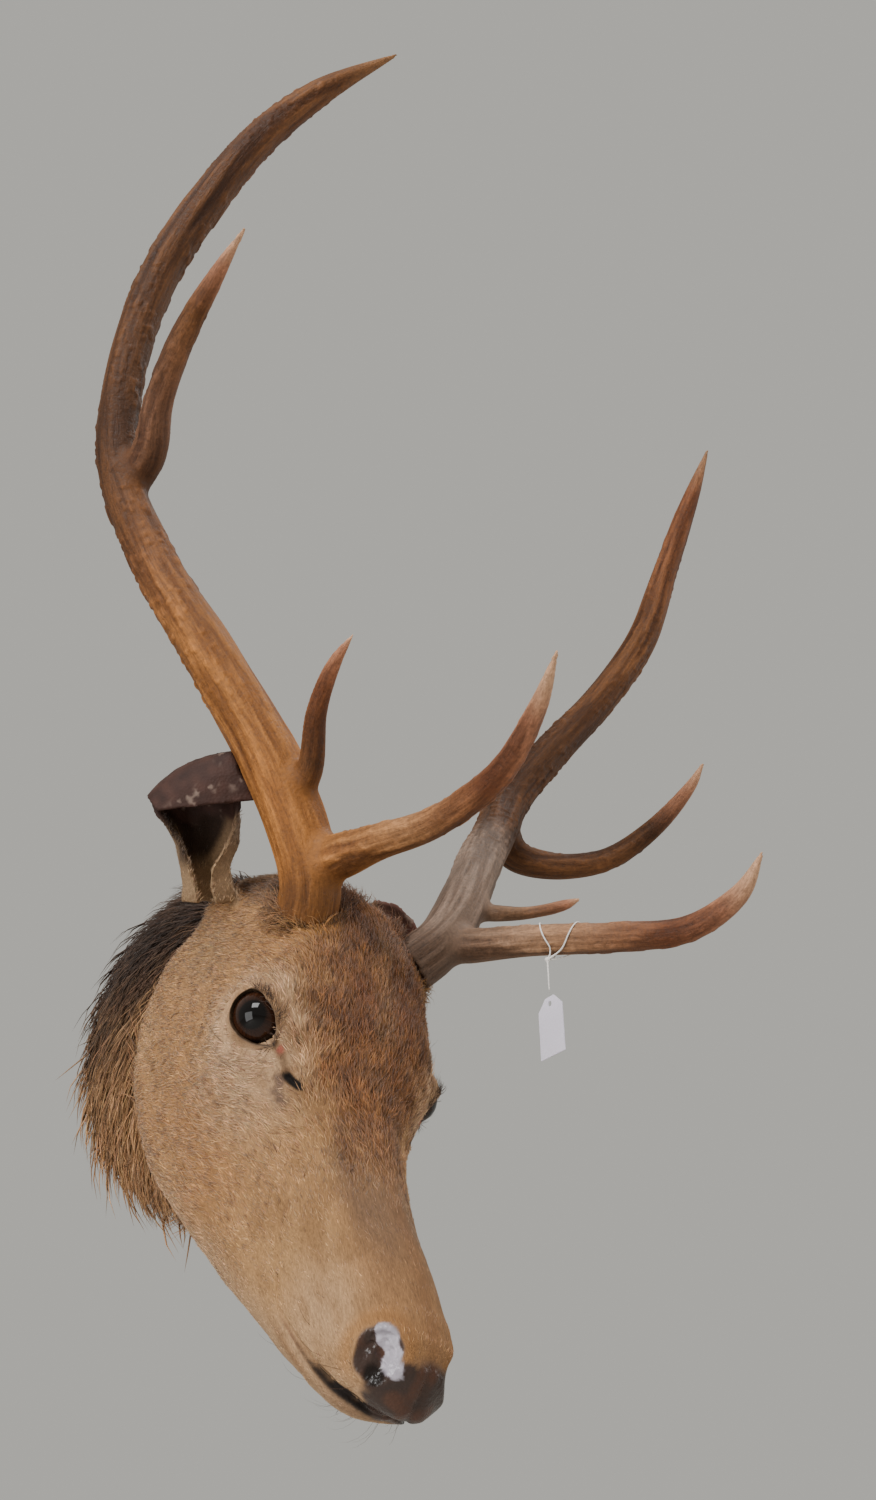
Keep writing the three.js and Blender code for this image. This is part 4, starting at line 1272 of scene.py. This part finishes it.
def clear_of_bare(points):
    """Which locks lie clear of the gland, duct, bare patch, eye's corner, nostril and lips."""
    clear = np.ones(len(points), bool)
    for k in (len(points[0]) // 2, len(points[0]) - 1):
        tips = mirrored(to_head(points[:, k]))
        for path, reach in ((GLAND, 2.6), (DUCT, 2.2), (BARE, 1.6)):
            clear &= off_path(tips, path) > reach
        clear &= (distance(tips, CARUNCLE) > 3.2) & (nostril_reach(tips) > 0.9) & (lip_band(tips) < 0.4)
    return clear


def off_wall(points):
    return points[..., 1].max(1) < -0.001


fore = h[:, 0] > 100
for name, here, seed in (("coat_right_fore", on_right & fore, 31), ("coat_right_rear", on_right & ~fore, 32),
                         ("coat_left_fore", ~on_right & fore, 33), ("coat_left_rear", ~on_right & ~fore, 34)):
    locks(name, face * here * (1 - 0.5 * brow), 16800, short, slim, flat, seed, spray=0.26, tip_light=1.1,
          keep=clear_of_bare)
locks("forehead_hair", face * brow, 14500, 11, 0.6, 14, 41, curl=0.4, spray=0.32, tip_light=1.14, vary=0.22)

nape = neck * (1 - ease(-0.004, -0.001, co[:, 1]))
for name, here, seed in (("mane_right", co[:, 0] < 0.008, 51), ("mane_left", co[:, 0] >= 0.008, 52)):
    locks(name, nape * here, 10400, 40, 1.5, 22, seed, steps=3, curl=0.6, spray=0.36, tip_light=1.4, vary=0.3,
          sink=0.001, droop=(0, 0, -0.5), keep=off_wall)
edge = ease(0.02, 0.3, wide[:, NECK_MASK]) * (1 - ease(0.55, 0.95, wide[:, NECK_MASK]))
locks("collar_hair", hairy * (1 - ear) * edge, 7600, 25, 1.2, 17, 61, steps=3, curl=0.4, spray=0.35,
      vary=0.25, tints=blend(hair_tint, MANE_TIP, 0.5 * edge), droop=(0, 0, -0.4), keep=off_wall)
burr = near(np.linalg.norm((h - BURR) * [1, 1, 1.2], axis=1), 24, 9) * (h[:, 2] > -40)
burr = burr + 0.7 * close_to(h, [0, 20, 0], 24) * ease(0.35, 0.6, noise(raw, 14, 1))
locks("burr_hair", hairy * (1 - ear) * burr, 3000, 15, 0.62, 48, 62, steps=3, curl=0.8, spray=0.8, vary=0.3,
      tints=blend(hair_tint, UMBER, 0.45))
locks("ear_hair", hairy * ear * (1 - leaf), 9000, 5.2, 0.6, 9, 71, spray=0.3, slot="ear")

# ---- long hairs: lashes over the eye, whiskers on the lips, chin and brow
dark = np.broadcast_to(UMBER, co.shape)
lash = near(past, 1.6, 1.4) * (y > 2) * (reach < 24) * (z > -4)
locks("lashes", lash, 260, 9, 0.3, 48, 81, steps=3, curl=0.5, spray=0.5, tints=dark)
lip_side = near(mouth, 9, 8) * ease(235, 262, h[:, 0])
chin = ease(262, 285, h[:, 0]) * ease(-84, -96, h[:, 2])
feelers = near(reach, 30, 9) * (h[:, 1] > 36) * (z > -12)
locks("whiskers", (0.6 * lip_side + 0.5 * chin + 0.4 * feelers) * face, 60, 22, 0.2, 46, 82, steps=4,
      curl=0.35, spray=0.5, tints=dark, dark_root=0.9)

for name, spec in ANTLERS.items():
    antler(name, spec)
    eye(name, spec["side"])


# ---- the sale tag, its string, and the board behind
def plain(name, hexa, roughness, grain, contrast, stretch=(1, 1, 1), depth=0.0001):
    """A material of one colour with a fine grain in it."""
    stuff = Shader(name, roughness, Specular_IOR_Level=0.3)
    place = stuff.add("VectorMath", {0: stuff.place(), 1: stretch}, operation="MULTIPLY")["Vector"]
    speck = stuff.noise(place, grain, 4.0)
    base = stuff.add("RGB")[0]
    base.default_value = (*colour(hexa), 1)
    stuff.paint(base, stuff.remap(speck, 0.3, 0.7, 1 - contrast, 1 + contrast))
    stuff.bump(speck, depth, 0.6)
    return stuff.material


def rounded(node, name, material, slot, bevel=0.0, rounds=0):
    """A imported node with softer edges: bevelled or subdivided."""
    co, tris = welded(*frame_mesh(node))
    obj = make(name, co, tris, smooth=False)
    bm = bmesh.new()
    bm.from_mesh(obj.data)
    bmesh.ops.dissolve_limit(bm, angle_limit=math.radians(1), verts=bm.verts, edges=bm.edges)
    bm.to_mesh(obj.data)
    bm.free()
    if bevel:
        modifier = obj.modifiers.new("bevel", "BEVEL")
        modifier.width, modifier.segments = bevel, 3
    if rounds:
        modifier = obj.modifiers.new("round", "SUBSURF")
        modifier.levels = modifier.render_levels = rounds
    mesh = with_modifiers(obj)
    shade_smooth(mesh, bool(rounds))
    return finished(placed(name, mesh), material, slot, node)


rounded("tag_card", "card", plain("card", "e2dcea", 0.75, 900.0, 0.05), "card", bevel=0.00018)
rounded("tag_string", "string", plain("string", "e6e1dc", 0.85, 1800.0, 0.16), "string", rounds=1)
wood = plain("wood", "8d6a45", 0.7, 60.0, 0.3, (6, 1, 0.6), 0.0006)
rounded("neck_board", "board", wood, "board", bevel=0.002)


# ---- camera, floor and light
CAMERA_AT, LENS, SENSOR = (-0.2566, -0.8845, -0.3531), 27.24, 36.0
CAMERA_AHEAD, CAMERA_RIGHT = unit(np.array([0.3848, 0.7116, 0.5878])), unit(np.array([0.8796, -0.4756, 0.0]))
FLOOR = np.array([[-6, -6, -1.3], [6, -6, -1.3], [6, 6, -1.3], [-6, 6, -1.3]])
# Lamps as [name, place, aimed at, size, power].
LAMPS = (("key", (-1.3, -1.6, 1.3), (0, -0.25, 0.0), (1.1, 0.8), 41),
         ("fill", (-1.9, -0.9, -0.5), (0, -0.25, -0.1), (1.4, 1.4), 28),
         ("top", (0.8, -0.6, 2.1), (0, -0.2, 0.3), (1.4, 1.0), 18),
         ("side", (1.8, -1.0, 0.3), (0, -0.25, 0.1), (1.2, 1.2), 12))


def studio():
    data = bpy.data.cameras.new("camera")
    data.sensor_width, data.lens, data.clip_start = SENSOR, LENS, 0.02
    data.sensor_fit = "VERTICAL"
    data.sensor_height = SENSOR
    camera = placed("camera", data)
    axes = (CAMERA_RIGHT, np.cross(CAMERA_RIGHT, CAMERA_AHEAD), -CAMERA_AHEAD, CAMERA_AT)
    camera.matrix_world = Matrix([[axis[k] for axis in axes] for k in range(3)] + [[0, 0, 0, 1]])
    bpy.context.scene.camera = camera

    floor = make("floor", FLOOR, np.array([[0, 1, 2, 3]]))
    matt = Shader("floor", 0.9, Base_Color=(0.62, 0.61, 0.58, 1))
    floor.data.materials.append(matt.material)

    world = bpy.data.worlds.new("room")
    bpy.context.scene.world = world
    world.use_nodes = True
    background = world.node_tree.nodes["Background"].inputs
    background["Color"].default_value = (0.50, 0.49, 0.455, 1)
    background["Strength"].default_value = 0.95
    for name, place, target, size, power in LAMPS:
        data = bpy.data.lights.new(name, "AREA")
        data.shape, data.size, data.size_y, data.energy = "RECTANGLE", *size, power
        lamp = placed(name, data)
        lamp.location = place
        lamp.rotation_euler = (Vector(target) - Vector(place)).to_track_quat("-Z", "Y").to_euler()


studio()
